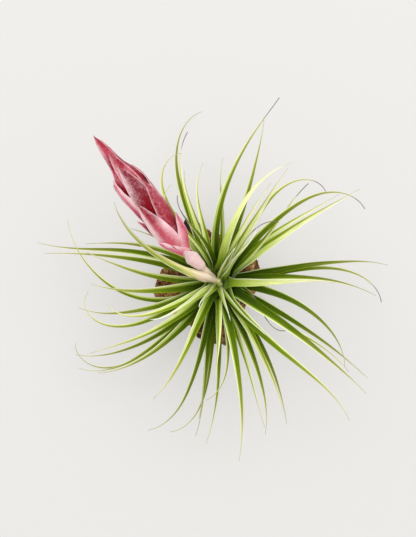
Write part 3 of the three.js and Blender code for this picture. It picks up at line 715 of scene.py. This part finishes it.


# Heart: the youngest leaves, still short and furled round the growing point. They stand
# steeply and are paler than the grown ones, because their silvery scales lie close together.

# Rows as the leaves have, without the node and with the tier last. They started from the same
# fit, and were then changed.
HEART_BLADES = [
    (-60, 39, 29, -9, 2.0, 0.5, 0.8, 0.05, 1.03),
    (-147, 41, 8, -43, 3.8, -0.6, 0.7, 0.02, 1.03),
    (56, 47, 11, -86, 1.6, 0.2, 0.2, 0.32, 1.03),
    (61, 35, -33, 52, 2.4, 0.5, 0.7, 0.02, 1.05),
    (-77, 21, 16, -17, 2.7, 0.5, 0.8, 0.02, 1.05),
    (-121, 17, -43, 80, 3.2, -0.5, 0.7, 0.02, 1.06),
    (36, 20, 62, -67, 2.6, 0.4, 0.4, 0.02, 1.1),
    (80, 21, -36, 7, 2.2, 0.5, 0.4, 0.02, 1.14),
    (84, 14, -40, 34, 1.6, 0.5, 0.5, 0.02, 1.2),
]
BUD_ASIDE = 1.0
BUD_RADIUS = 1.9
BUD_POINT = 0.15
BUD_HEIGHT = 6.6
BUD_TAPER = 0.6
BUD_INNER = 0.76
BUD_STEP = 0.26
BUD_TURN = 1.2 * np.pi
BUD_ROWS = 48
BUD_AROUND = 96
BUD_ROOT = 0.2
YOUNG_ROOT_SHARE = 0.4
HEART_SEED = 100


def bud_rings():
    """Rings of the bud, two leaves furled round each other. The radius falls to a point as
    the height that is left to the power 0.6. Round each half turn it grows by a third and
    steps back where a leaf's edge lies, and the edges wind round as they rise."""
    share = np.linspace(0, 1, BUD_ROWS)[:, None]
    step = np.arange(BUD_AROUND)[None]
    furl = np.broadcast_to(2 * step / BUD_AROUND % 1, (BUD_ROWS, BUD_AROUND))
    angle = 2 * np.pi * step / BUD_AROUND - BUD_TURN * share
    radius = BUD_RADIUS * (1 - share) ** BUD_TAPER * (BUD_INNER + BUD_STEP * furl) + BUD_POINT
    height = STEM_TOP + SEAT_GAP + (BUD_HEIGHT - SEAT_GAP) * share
    rings = np.stack([BUD_ASIDE + radius * np.cos(angle), -BUD_ASIDE + radius * np.sin(angle),
                      np.broadcast_to(height, radius.shape)], -1)
    return rings, furl, share


# The dark first stops, at the foot of each young leaf, are painted shade.
young_leaf = leaf_material(
    "young_air_plant_leaf",
    [(0.0, "#1E3400"), (0.25, "#5C7A0C"), (0.6, "#8CA634"), (0.85, "#DCE4B8"), (1.0, "#FAFAF2")],
    [(0.0, "#3E5A04"), (0.25, "#96AE36"), (0.6, "#BCCC6C"), (0.85, "#ECF0D0"), (1.0, "#FAFAF2")],
    [(0.0, "#8CA234"), (0.25, "#D2DE84"), (0.6, "#F0F4C0"), (1.0, "#FCFCF0")],
    "#FFFFF0",
)
rings, furl, share = bud_rings()
skins = [skin_of(rings, along=0.2 + 0.3 * share, across=furl, side=0.1 * furl, under=0,
                 pale=0.75, dry=0, tone=0.5)]
for order, (*row, tier) in enumerate(HEART_BLADES):
    skins.append(leaf_skin(row, HEART_SEED + order, 0, tier, BUD_ROOT, YOUNG_ROOT_SHARE,
                           sheath=False))
piece("heart_leaves", skins, young_leaf, "young_green", "heart")


# Scape: the flower stalk, fleshy and faintly ribbed. It grows from the top of the stem beside
# the bud, and leans over to the upper left.

SPIKE_FOOT = np.array([-17.5, 16.4, 79.0])
SPIKE_TIP = np.array([-64.2, 75.5, 113.0])
SPIKE_AXIS = (SPIKE_TIP - SPIKE_FOOT) / np.linalg.norm(SPIKE_TIP - SPIKE_FOOT)
SCAPE_RADIUS = 1.5
SCAPE_END = 1.5
SCAPE_POINTS = np.array([
    (-1.6, 1.6, STEM_TOP + SEAT_GAP),
    (-2.6, 2.5, STEM_TOP + 6),
    (-5.2, 5.0, STEM_TOP + 12.5),
    (-9.8, 9.3, STEM_TOP + 19),
    tuple(SPIKE_FOOT - SCAPE_END * SPIKE_AXIS),
])
SCAPE_ROWS = 61
SCAPE_AROUND = 36
SCAPE_RIBS = 6
SCAPE_RIB_HEIGHT = 0.03


def through(points, count):
    """A smooth curve through points, at an even count of places: on each span a cubic that
    meets the slopes at its ends, which are taken across the neighbouring points."""
    knots = np.concatenate([[0], np.cumsum(np.linalg.norm(np.diff(points, axis=0), axis=1))])
    slopes = np.gradient(points, knots, axis=0)
    place = np.linspace(0, knots[-1], count)
    span = np.clip(np.searchsorted(knots, place, "right") - 1, 0, len(points) - 2)
    width = (knots[span + 1] - knots[span])[:, None]
    t = (place - knots[span])[:, None] / width
    return ((1 + 2 * t) * (1 - t) ** 2 * points[span] + t * (1 - t) ** 2 * width * slopes[span]
            + t * t * (3 - 2 * t) * points[span + 1] - t * t * (1 - t) * width * slopes[span + 1])


def scape_rings():
    """Rings along the scape: a round section with six shallow ribs."""
    path = through(SCAPE_POINTS, SCAPE_ROWS)
    _, left, over = frames_along(path)
    angle = np.arange(SCAPE_AROUND) * 2 * np.pi / SCAPE_AROUND
    radius = SCAPE_RADIUS * (1 + SCAPE_RIB_HEIGHT * np.cos(SCAPE_RIBS * angle))
    ring = (left[:, None] * (radius * np.cos(angle))[None, :, None]
            + over[:, None] * (radius * np.sin(angle))[None, :, None])
    return path[:, None] + ring


# Bract skin: thin petal-like tissue, rose, pink or mauve, with painted shade as dark crimson
# where it is hidden, fine veins along it, thin whitish margins and a bloom of pale scales. The
# veins are 0.2 mm apart and drawn at about 0.5 mm.
def bract_material(name, body_stops, margin, haze):
    material, tree = new_material(name)
    read = {value: node(tree, "Attribute", attribute_name=value).outputs["Fac"]
            for value in ("along", "across", "side", "bloom", "hue", "deep", "tone")}
    body = node(tree, "ValToRGB", {"Fac": read["along"]}, stops=body_stops)
    mauve = node(tree, "MapRange", {"Value": read["hue"]})
    dusky = node(tree, "Mix", {0: mauve.outputs["Result"], 6: body.outputs["Color"],
                               7: linear("#7E323E")}, data_type="RGBA")
    fresh = node(tree, "MapRange", {"Value": read["hue"], "From Max": -1})
    pink = node(tree, "Mix", {0: fresh.outputs["Result"], 6: dusky.outputs[2],
                              7: linear("#EA6E8A")}, data_type="RGBA")
    lined, veins = drawn_lines(tree, read, pink.outputs[2], (14, 3, 40), 1.5, 0.6, (0.68, 1.26))
    # Painted shade: hidden parts of the bracts and the axis turn dark crimson.
    hidden_shade = node(tree, "Mix", {0: read["deep"], 6: lined, 7: linear("#820414")},
                  data_type="RGBA")
    place = node(tree, "TexCoord").outputs["Object"]
    scurf = node(tree, "TexNoise", {"Vector": place, "Scale": 420, "Detail": 6, "Roughness": 0.9})
    spread = node(tree, "Math", {0: scurf.outputs["Fac"], 1: read["bloom"]}, operation="ADD")
    powder = node(tree, "MapRange", {"Value": spread.outputs[0], "From Min": 0.55,
                                     "From Max": 1.25, "To Max": 0.95})
    dusty = node(tree, "Mix", {0: powder.outputs["Result"], 6: hidden_shade.outputs[2],
                               7: linear(haze)}, data_type="RGBA")
    edge = node(tree, "MapRange", {"Value": read["across"], "From Min": 0.72, "From Max": 0.97,
                                   "To Max": 0.5})
    edged = node(tree, "Mix", {0: edge.outputs["Result"], 6: dusty.outputs[2], 7: linear(margin)},
                 data_type="RGBA")
    surface(tree, edged.outputs[2], veins, (0.5, 0.0003), 0.6, 1.42, 0.08)
    return material


stalk_skin = bract_material("scape_skin", [(0, "#B8B070"), (0.4, "#DCBE9C"), (1, "#E6B0AC")],
                            "#F6E8DC", "#F4E2D4")
scape_rows = np.linspace(0, 1, SCAPE_ROWS)[:, None]
piece("scape_stalk", [skin_of(scape_rings(), along=scape_rows, across=0, side=0, bloom=0.4,
                              hue=0, deep=0, tone=0.5)], stalk_skin, "scape_pink", "scape")


# Scape bracts: two modified leaves on the scape. The lower is a beige boat over the scape's left
# side that narrows to a long green blade. The upper is a pale pink sheath round the spike's foot.

# The same fit gave the low bract's azimuth, sweep and hook.
LOW_BRACT = {"azimuth": 166, "length": 73.6, "sweep": -37, "hook": -24, "lift": 0}
LOW_BRACT_WIDTH = 6.4
LOW_BRACT_ROOT = -1.0
LOW_BRACT_DIP = 3.6
LOW_BRACT_CLASP = 0.35
LOW_BRACT_RUFFLE = 0.7
LOW_BRACT_TILT = 28
LOW_BRACT_LEVEL = 0.4
LOW_BRACT_FOOT = STEM_TOP + 10.2
LOW_BRACT_CLIMB = 18
LOW_BRACT_REACH = 20
LOW_BRACT_SAG = 8
LOW_BRACT_RADIUS = (3.2, 1.6)
LOW_BRACT_PLACES = [0, 0.05, 0.15, 0.26, 0.5, 0.8, 1]
LOW_BRACT_SHARES = [0.4, 0.62, 1.05, 0.66, 0.44, 0.24, 0]
LOW_BRACT_LEAST = 0.15
LOW_BRACT_ROOTED = 0.1
LOW_BRACT_KEEL = 0.15
LOW_BRACT_PALE = (0.5, 1)
LOW_BRACT_PALE_SIDE = (-0.1, 0.6)
RUFFLE_WAVES = 55
RUFFLE_SLANT = 2
RUFFLE_END = (0.15, 0.35)
UPPER_BRACT_SPAN = (0.59, 0.9)
UPPER_BRACT_LIP = 0.7
UPPER_BRACT_PAST = 9.0
UPPER_BRACT_RADIUS = (2.3, 3.9)
UPPER_BRACT_FLARE = 3.0
UPPER_BRACT_PINCH = 0.5
UPPER_BRACT_PINCHED = 0.15
UPPER_BRACT_HALF_ANGLE = (95, 8)
UPPER_BRACT_NARROWS = 0.55
UPPER_BRACT_KEEL = 0.12
UPPER_BRACT_STEPS = 61
PATH_FINE = 400
BRACT_THICKNESS = 0.7
BRACT_EDGE = 0.2
BRACT_ACROSS = 18
KEEL_WIDTH = 0.14


def arc_wall(centre, outward, side, radius, half_angle, keel):
    """Rings of a thin curved wall. At each place it is an arc round a centre, from one side
    to the other and back inside. The wall thins to its edges with u squared, and a keel lifts
    its middle by a narrow bell curve. Where the arc is narrower than the wall is thick, the
    wall thins with it, to a sharp point."""
    u, inner = there_and_back(BRACT_ACROSS)
    face = 1 - 2 * inner
    thin = np.minimum(radius * half_angle / BRACT_THICKNESS, 1)[:, None]
    half = thin * (BRACT_THICKNESS * (1 - u ** 2) + BRACT_EDGE * u ** 2) / 2
    ridge = thin * keel * np.exp(-(u / KEEL_WIDTH) ** 2) * (face > 0)
    wall = radius[:, None] + face * half + ridge
    angle = half_angle[:, None] * u
    rings = (centre[:, None] + outward[:, None] * (wall * np.cos(angle))[..., None]
             + side[:, None] * (wall * np.sin(angle))[..., None])
    return rings, u, face


def low_bract_skin():
    """The lower bract: its centre line runs as a leaf's does, its height climbs as one minus a
    falling exponential and sags with the distance squared, and its section tilts to the left
    near the base. Its root dips to the bud and closes round it, and the edges there are
    ruffled by a sine wave."""
    line, s = leaf_line(**LOW_BRACT, tier=1, start=LOW_BRACT_ROOT)
    distance = np.hypot(line[:, 0], line[:, 1])
    climb = LOW_BRACT_CLIMB * (1 - np.exp(-distance / LOW_BRACT_REACH))
    rooted = 1 - smooth(s, 0, LOW_BRACT_ROOTED)
    line[:, 2] = LOW_BRACT_FOOT + climb - LOW_BRACT_SAG * (distance / LOW_BRACT["length"]) ** 2
    line[:, 2] -= LOW_BRACT_DIP * rooted
    tilt = -np.radians(LOW_BRACT_TILT) * np.maximum(1 - s / LOW_BRACT_LEVEL, 0)[:, None]
    side, up = turned(*frames_along(line)[1:], tilt)
    share = np.interp(s, LOW_BRACT_PLACES, LOW_BRACT_SHARES)
    half = np.maximum(LOW_BRACT_WIDTH / 2 * share, LOW_BRACT_LEAST)
    radius = between(LOW_BRACT_RADIUS, s) * (1 - LOW_BRACT_CLASP * rooted)
    centre = line - up * radius[:, None]
    rings, u, face = arc_wall(centre, up, side, radius, half / radius, LOW_BRACT_KEEL)
    ruffle = np.sin(RUFFLE_WAVES * s[:, None] + RUFFLE_SLANT * u) * np.abs(u) ** 3
    ruffle = ruffle * (1 - smooth(s, *RUFFLE_END))[:, None]
    rings = rings + up[:, None] * (LOW_BRACT_RUFFLE * ruffle)[..., None]
    pale = between(LOW_BRACT_PALE, smooth(-u, *LOW_BRACT_PALE_SIDE))
    return skin_of(rings, along=s[:, None], across=np.abs(u), side=u, under=face < 0, pale=pale,
                   dry=0, tone=0.5)


def upper_bract_skin():
    """The upper bract: an arc round the scape, pinched to it at the root, that widens to its
    mouth. It narrows from nearly half a turn on each side to a pointed lip, which flares with
    the square of how far it reaches past the mouth, over the foot of the spike."""
    s = np.linspace(0, 1, UPPER_BRACT_STEPS)
    path = through(SCAPE_POINTS, PATH_FINE)
    places = np.linspace(0, 1, PATH_FINE)
    to_mouth = np.minimum(s / UPPER_BRACT_LIP, 1)
    share = between(UPPER_BRACT_SPAN, to_mouth)
    at = np.stack([np.interp(share, places, column) for column in path.T], -1)
    along = np.stack([np.interp(share, places, column)
                      for column in frames_along(path)[0].T], -1)
    past = np.maximum((s - UPPER_BRACT_LIP) / (1 - UPPER_BRACT_LIP), 0)
    centre = at + along * UPPER_BRACT_PAST * past[:, None]
    radius = between(UPPER_BRACT_RADIUS, to_mouth) + UPPER_BRACT_FLARE * past ** 2
    radius -= UPPER_BRACT_PINCH * (1 - smooth(s, 0, UPPER_BRACT_PINCHED))
    side, outward = left_and_over(along)
    narrowed = smooth(s, UPPER_BRACT_NARROWS, 1)
    half_angle = np.radians(between(UPPER_BRACT_HALF_ANGLE, narrowed))
    rings, u, _ = arc_wall(centre, outward, side, radius, half_angle, UPPER_BRACT_KEEL)
    return skin_of(rings, along=s[:, None], across=np.abs(u), side=u, bloom=0.5, hue=0, deep=0,
                   tone=0.7)


boat_skin = leaf_material(
    "scape_bract_beige",
    [(0.0, "#8E8A3A"), (0.05, "#C8B088"), (0.13, "#D8BC9E"), (0.2, "#B8B050"), (0.28, "#80922A"),
     (0.6, "#6C8020"), (0.85, "#94A050"), (1.0, "#BCBC90")],
    [(0.0, "#B4AE60"), (0.05, "#E0CAA8"), (0.14, "#E8CEB4"), (0.22, "#D6D07C"), (0.32, "#A8B848"),
     (0.6, "#98A83E"), (1.0, "#D0D0A4")],
    [(0.0, "#D8D094"), (0.06, "#F4E2D0"), (0.16, "#F6E6CE"), (0.26, "#F0EEB0"), (0.5, "#DEE6A4"),
     (1.0, "#E2E2C0")],
    "#FCF8E4",
)
upper_bract_pink = bract_material("scape_bract_pink", [
    (0.0, "#CDB68C"), (0.08, "#DCC09E"), (0.16, "#DC9C84"), (0.28, "#E6AAA2"), (0.6, "#ECAAAE"),
    (1.0, "#EEBCC0"),
], "#FCEAE8", "#F9E2E0")
piece("low_scape_bract", [low_bract_skin()], boat_skin, "scape_pink", "scape_bract_1")
piece("upper_scape_bract", [upper_bract_skin()], upper_bract_pink, "scape_pink",
      "scape_bract_2")


# Flower spike: a slim axis closely covered by pointed, keeled bracts, the thin and coloured
# leaves that grow from it. They overlap like tiles, each lower one over the foot of the next.

SPIKE_HEIGHTS = [-4, 4, 10, 26, 40, 50, 56, 61, 66, 72, 78, 84]
SPIKE_RADII = [2.8, 6.2, 8.2, 9, 9.2, 8.8, 7, 5, 4, 3.3, 1.8, 0.6]

# A bract's row gives the height of its base, its roll from the sky side to the left, its length
# and width, how far its tip stands off and the height over which it swells out, then its bloom
# of pale scales on the left and on the right, its hue from pink at -1 through rose to mauve at
# 1, how dark its hidden foot is painted as shade, and how dark a red its tip is.
BRACTS = [
    (-4, -50, 28.5, 10.5, 3.0, 5, 0.5, 0.3, -0.5, 0.1, 0),
    (-4, 58, 20, 13, 1.8, 4, 0.5, 1.0, -1.0, 0.0, 0),
    (-3, 28, 45, 13, 0.4, 5, 1.3, 0.8, -0.1, 0.0, 0.75),
    (0, 175, 31, 11, 0.0, 7, 0.5, 0.5, 0.0, 0.2, 0),
    (2, 108, 27, 12, 2.2, 5, 0.6, 0.4, -1.0, 0.2, 0),
    (8, -42, 41, 13, 0.0, 7, 0.1, 0.25, 0.2, 0.7, 0.2),
    (8, -122, 37, 12, 0.0, 7, 0.5, 0.5, 0.0, 0.6, 0),
    (12, 122, 41, 12, 2.2, 7, 1.1, 1.0, -0.8, 0.3, 0),
    (14, -165, 40, 11, 0.0, 7, 0.5, 0.5, 0.0, 0.6, 0),
    (16, 66, 42, 13.5, 1.4, 7, 2.2, 1.8, -0.9, 0.6, 0),
    (18, -100, 40, 12, 0.0, 7, 0.5, 0.6, 0.1, 0.4, 0),
    (20, -2, 44, 12.5, 0.3, 7, 0.5, 0.05, 0.9, 1.1, 0.3),
    (33, 56, 36, 11, 0.0, 7, 1.3, 0.3, -0.2, 1.8, 0),
    (34, -62, 41, 12, 0.0, 7, 0.2, 0.35, 0.5, 0.9, 0.3),
    (34, 168, 40, 11, 0.0, 7, 0.5, 0.5, 0.0, 0.6, 0),
    (36, -8, 36, 10, 0.3, 7, 0.3, 0.2, -0.1, 1.1, 0.65),
    (46, -120, 33, 8, 0.0, 7, 0.4, 0.6, 0.1, 0.6, 0),
    (46, 126, 34, 8, 0.0, 7, 0.7, 0.5, -0.3, 0.6, 0),
    (49, 8, 34, 8, 0.0, 7, 0.45, 0.0, -0.2, 1.5, 0.55),
]
CORE_SHARE = (0.42, 0.82)
CORE_DEEP = (0.3, 0.75)
CORE_WIDENS = (4, 18)
CORE_ROWS = 60
CORE_AROUND = 32
CORE_LEAST = 1.2
CORE_TOP = 72
BRACT_ROOT = 1
BRACT_WIDEST = 0.35
BRACT_BASE_SHARE = 0.8
BRACT_TIP_POWER = 2.0
BRACT_LEAST_HALF = 0.12
BRACT_LEAST_CURVE = 1.6
BRACT_FLATTER = 0.6
BRACT_MOST_WRAP = 1.65
BRACT_ROWS = 45
BRACT_KEEL = 0.3
BRACT_SEED = 200
SKY_BRACT_ROLL = 30
SIDE_BRACT_ROLL = 55
SIDE_TUCK = 0.5
SIDE_TUCK_REACH = (1, 4)
FLUTTER = 0.4
FLUTTER_ALONG = (0.2, 0.6)
FLUTTER_WAVES = [(0.6, 9, 2), (0.4, 27, 3)]
BLOOM_LEAST = 0.1
BLOOM_LEFT = (0, 0.85)
BLOOM_RIGHT = (0.1, 0.95)
BLOOM_FOOT_SHARE = 0.45
BLOOM_ALONG = (0.3, 0.75)
BLOOM_LOST_IN_DARK = 0.9
DARK_FOOT = (0.3, 0.8)
DARK_FOOT_EDGE = 0.4
TUCKED_ALONG = (0.7, 0.95)
TUCKED_ACROSS = (0.1, 0.9)
DARK_TIP_ALONG = (0.55, 0.75)
DARK_TIP_ACROSS = (-0.3, 0.5)
DARK_TIP_LEFT_SHARE = 0.25


def spike_to_plant(points):
    """Turns points from the spike's own frame, with its left as +X, the sky as +Y and its axis
    as +Z, into the plant's frame."""
    sky = np.array([0, 0, 1.0]) - SPIKE_AXIS[2] * SPIKE_AXIS
    sky /= np.linalg.norm(sky)
    return SPIKE_FOOT + points @ np.stack([np.cross(sky, SPIKE_AXIS), sky, SPIKE_AXIS])


def bract_skin(row, order):
    """One floral bract: it leaves the core, swells out to the spike's outline as one minus a
    falling exponential of the height over its base, and closes over the next. Its half width
    grows evenly to the widest place, then falls by a power to the point. Its edges flutter by
    two sine waves that grow with the fourth power of u. A bract at the side lies a little lower
    than those on the sky side. Shade is painted on it, dark where it is hidden: low down, and
    at the side along the edge that is tucked under the ones on the sky side. Its tip can be dark
    red too, most on its right. The bloom of scales is weaker low down and where the bract is
    dark."""
    base, roll, length, width, stand_off, swell_height, left, right, hue, foot, dark_tip = row
    draw = np.random.default_rng(BRACT_SEED + order)
    s = np.linspace(0, 1, BRACT_ROWS)
    height = base + length * s
    reach = np.interp(height, SPIKE_HEIGHTS, SPIKE_RADII) - BRACT_THICKNESS / 2
    at_side = abs(roll) > SIDE_BRACT_ROLL
    reach = reach - SIDE_TUCK * at_side * smooth(reach, *SIDE_TUCK_REACH)
    swell = 1 - np.exp(-length * s / swell_height)
    distance = between((BRACT_ROOT, reach), swell) + stand_off * s ** 3
    radius = np.maximum(distance, BRACT_LEAST_CURVE) + BRACT_FLATTER
    past = np.clip((s - BRACT_WIDEST) / (1 - BRACT_WIDEST), 0, 1)
    share = np.where(s < BRACT_WIDEST, between((BRACT_BASE_SHARE, 1), s / BRACT_WIDEST),
                     1 - past ** BRACT_TIP_POWER)
    half = np.maximum(width / 2 * share, BRACT_LEAST_HALF)
    turn = np.radians(roll)
    outward = np.tile([np.sin(turn), np.cos(turn), 0], (BRACT_ROWS, 1))
    side = np.tile([np.cos(turn), -np.sin(turn), 0], (BRACT_ROWS, 1))
    centre = outward * (distance - radius)[:, None] + np.array([0, 0, 1]) * height[:, None]
    rings, u, _ = arc_wall(centre, outward, side, radius,
                           np.minimum(half / radius, BRACT_MOST_WRAP), BRACT_KEEL)
    waves = sum(part * np.sin(rate * s[:, None] + draw.uniform(0, 6) + slant * u)
                for part, rate, slant in FLUTTER_WAVES)
    flutter = FLUTTER * waves * np.abs(u) ** 4 * smooth(s, *FLUTTER_ALONG)[:, None]
    rings = rings + outward[:, None] * flutter[..., None]

    low = (1 - smooth(s, *DARK_FOOT))[:, None] * (1 - DARK_FOOT_EDGE * np.abs(u))
    tucked = (1 - smooth(s, *TUCKED_ALONG))[:, None]
    tucked = tucked * smooth(-u * np.sign(roll), *TUCKED_ACROSS) * (abs(roll) > SKY_BRACT_ROLL)
    dark_tipped = smooth(s, *DARK_TIP_ALONG)[:, None]
    dark_tipped = dark_tipped * between((DARK_TIP_LEFT_SHARE, 1), smooth(-u, *DARK_TIP_ACROSS))
    # Painted shade: the hidden foot and the tucked edge; the dark tip is taken in where it is
    # darker.
    deep = np.maximum(np.clip(foot * np.maximum(low, tucked), 0, 1), dark_tip * dark_tipped)
    bloom = BLOOM_LEAST + left * smooth(u, *BLOOM_LEFT) + right * smooth(-u, *BLOOM_RIGHT)
    bloom = bloom * between((BLOOM_FOOT_SHARE, 1), smooth(s, *BLOOM_ALONG))[:, None]
    bloom = bloom * (1 - BLOOM_LOST_IN_DARK * deep)
    return skin_of(spike_to_plant(rings), along=s[:, None], across=np.abs(u), side=u,
                   bloom=bloom, hue=hue, deep=deep, tone=draw.uniform())


def core_rings():
    """The spike's axis: round, as thick as a share of the spike's outline, which grows above
    the foot, as its painted shade does."""
    height = np.linspace(SEAT_GAP - SCAPE_END, CORE_TOP, CORE_ROWS)[:, None]
    above = smooth(height, *CORE_WIDENS)
    outline = np.interp(height, SPIKE_HEIGHTS, SPIKE_RADII)
    radius = np.maximum(between(CORE_SHARE, above) * outline, CORE_LEAST)
    angle = np.arange(CORE_AROUND)[None] * 2 * np.pi / CORE_AROUND
    rings = spike_to_plant(np.stack([
        radius * np.cos(angle), radius * np.sin(angle),
        np.broadcast_to(height, (CORE_ROWS, CORE_AROUND)),
    ], -1))
    return rings, between(CORE_DEEP, above)


rose_bract = bract_material("floral_bract_rose", [
    (0.0, "#E07C88"), (0.3, "#CC5868"), (0.6, "#BC4054"), (0.85, "#B42C44"), (1.0, "#A41A3C"),
], "#FACAD0", "#FDD8DC")
# The axis is painted dark as shade, more so higher up inside the bracts.
rings, deep = core_rings()
piece("spike_axis", [skin_of(rings, along=0.5, across=0, side=0, bloom=0.1, hue=-0.4,
                             deep=deep, tone=0.5)], rose_bract, "bract_rose", "flower_spike")
for order, row in enumerate(BRACTS):
    piece(f"floral_bract_{order + 1:02d}", [bract_skin(row, order)], rose_bract, "bract_rose",
          "flower_spike")


# The studio: a plain pale floor and surround, with a wide soft light from above on the right
# and a weaker one from above on the left. The camera looks straight down from 1.2 m above the
# leaves, as the photograph does.

PIXEL_MM = 0.54
VIEW_HEIGHT = 55.0
EYE_ABOVE = 1200.0
ROSETTE_PIXEL = (218.0, 282.0)
FRAME_PIXELS = (416.0, 537.0)
SENSOR = 36.0
FLOOR_HALF = 4
LIGHTS_AIM = (0, 0, 0.06)


def floor_material():
    """Pale paper on a light table: half of what it shows is its own even glow, so that what
    stands on it casts only a faint shade."""
    material, tree = new_material("pale_paper_lit_from_below")
    shader = node(tree, "BsdfPrincipled", {
        "Base Color": linear("#ABAAA9"), "Roughness": 0.95, "Specular IOR Level": 0.1,
        "Emission Color": linear("#FFFDFA"), "Emission Strength": 0.37,
    })
    node(tree, "OutputMaterial", {"Surface": shader.outputs["BSDF"]})
    return material


floor_mesh = bpy.data.meshes.new("floor")
floor_mesh.from_pydata([(x * FLOOR_HALF, y * FLOOR_HALF, 0)
                        for x, y in ((-1, -1), (1, -1), (1, 1), (-1, 1))], [], [(0, 1, 2, 3)])
floor_mesh.materials.append(floor_material())
floor = placed("floor", floor_mesh)


def soft_light(name, place, size, watts):
    """A square area light at a place, facing the plant."""
    lamp = bpy.data.lights.new(name, "AREA")
    lamp.shape = "SQUARE"
    lamp.size = size
    lamp.energy = watts
    made = placed(name, lamp)
    made.location = place
    direction = np.array(LIGHTS_AIM) - np.array(place)
    made.rotation_euler = Vector(direction).to_track_quat("-Z", "Y").to_euler()


soft_light("ceiling_light", (0.3, 0.45, 1.4), 1.3, 13)
soft_light("wall_light", (-0.9, 0.6, 1.2), 1.0, 5)

world = bpy.data.worlds.new("studio")
world.use_nodes = True
world.node_tree.nodes["Background"].inputs["Color"].default_value = linear("#F4F4F2")
world.node_tree.nodes["Background"].inputs["Strength"].default_value = 0.72
bpy.context.scene.world = world
bpy.context.scene.view_settings.view_transform = "Standard"

camera_data = bpy.data.cameras.new("camera")
camera_data.sensor_width = SENSOR
camera_data.lens = SENSOR * EYE_ABOVE / (FRAME_PIXELS[1] * PIXEL_MM)
camera_data.clip_end = 50
camera = placed("camera", camera_data)
camera.location = (
    (FRAME_PIXELS[0] / 2 - ROSETTE_PIXEL[0]) * PIXEL_MM / 1000,
    (ROSETTE_PIXEL[1] - FRAME_PIXELS[1] / 2) * PIXEL_MM / 1000,
    (VIEW_HEIGHT + EYE_ABOVE) / 1000,
)
bpy.context.scene.camera = camera
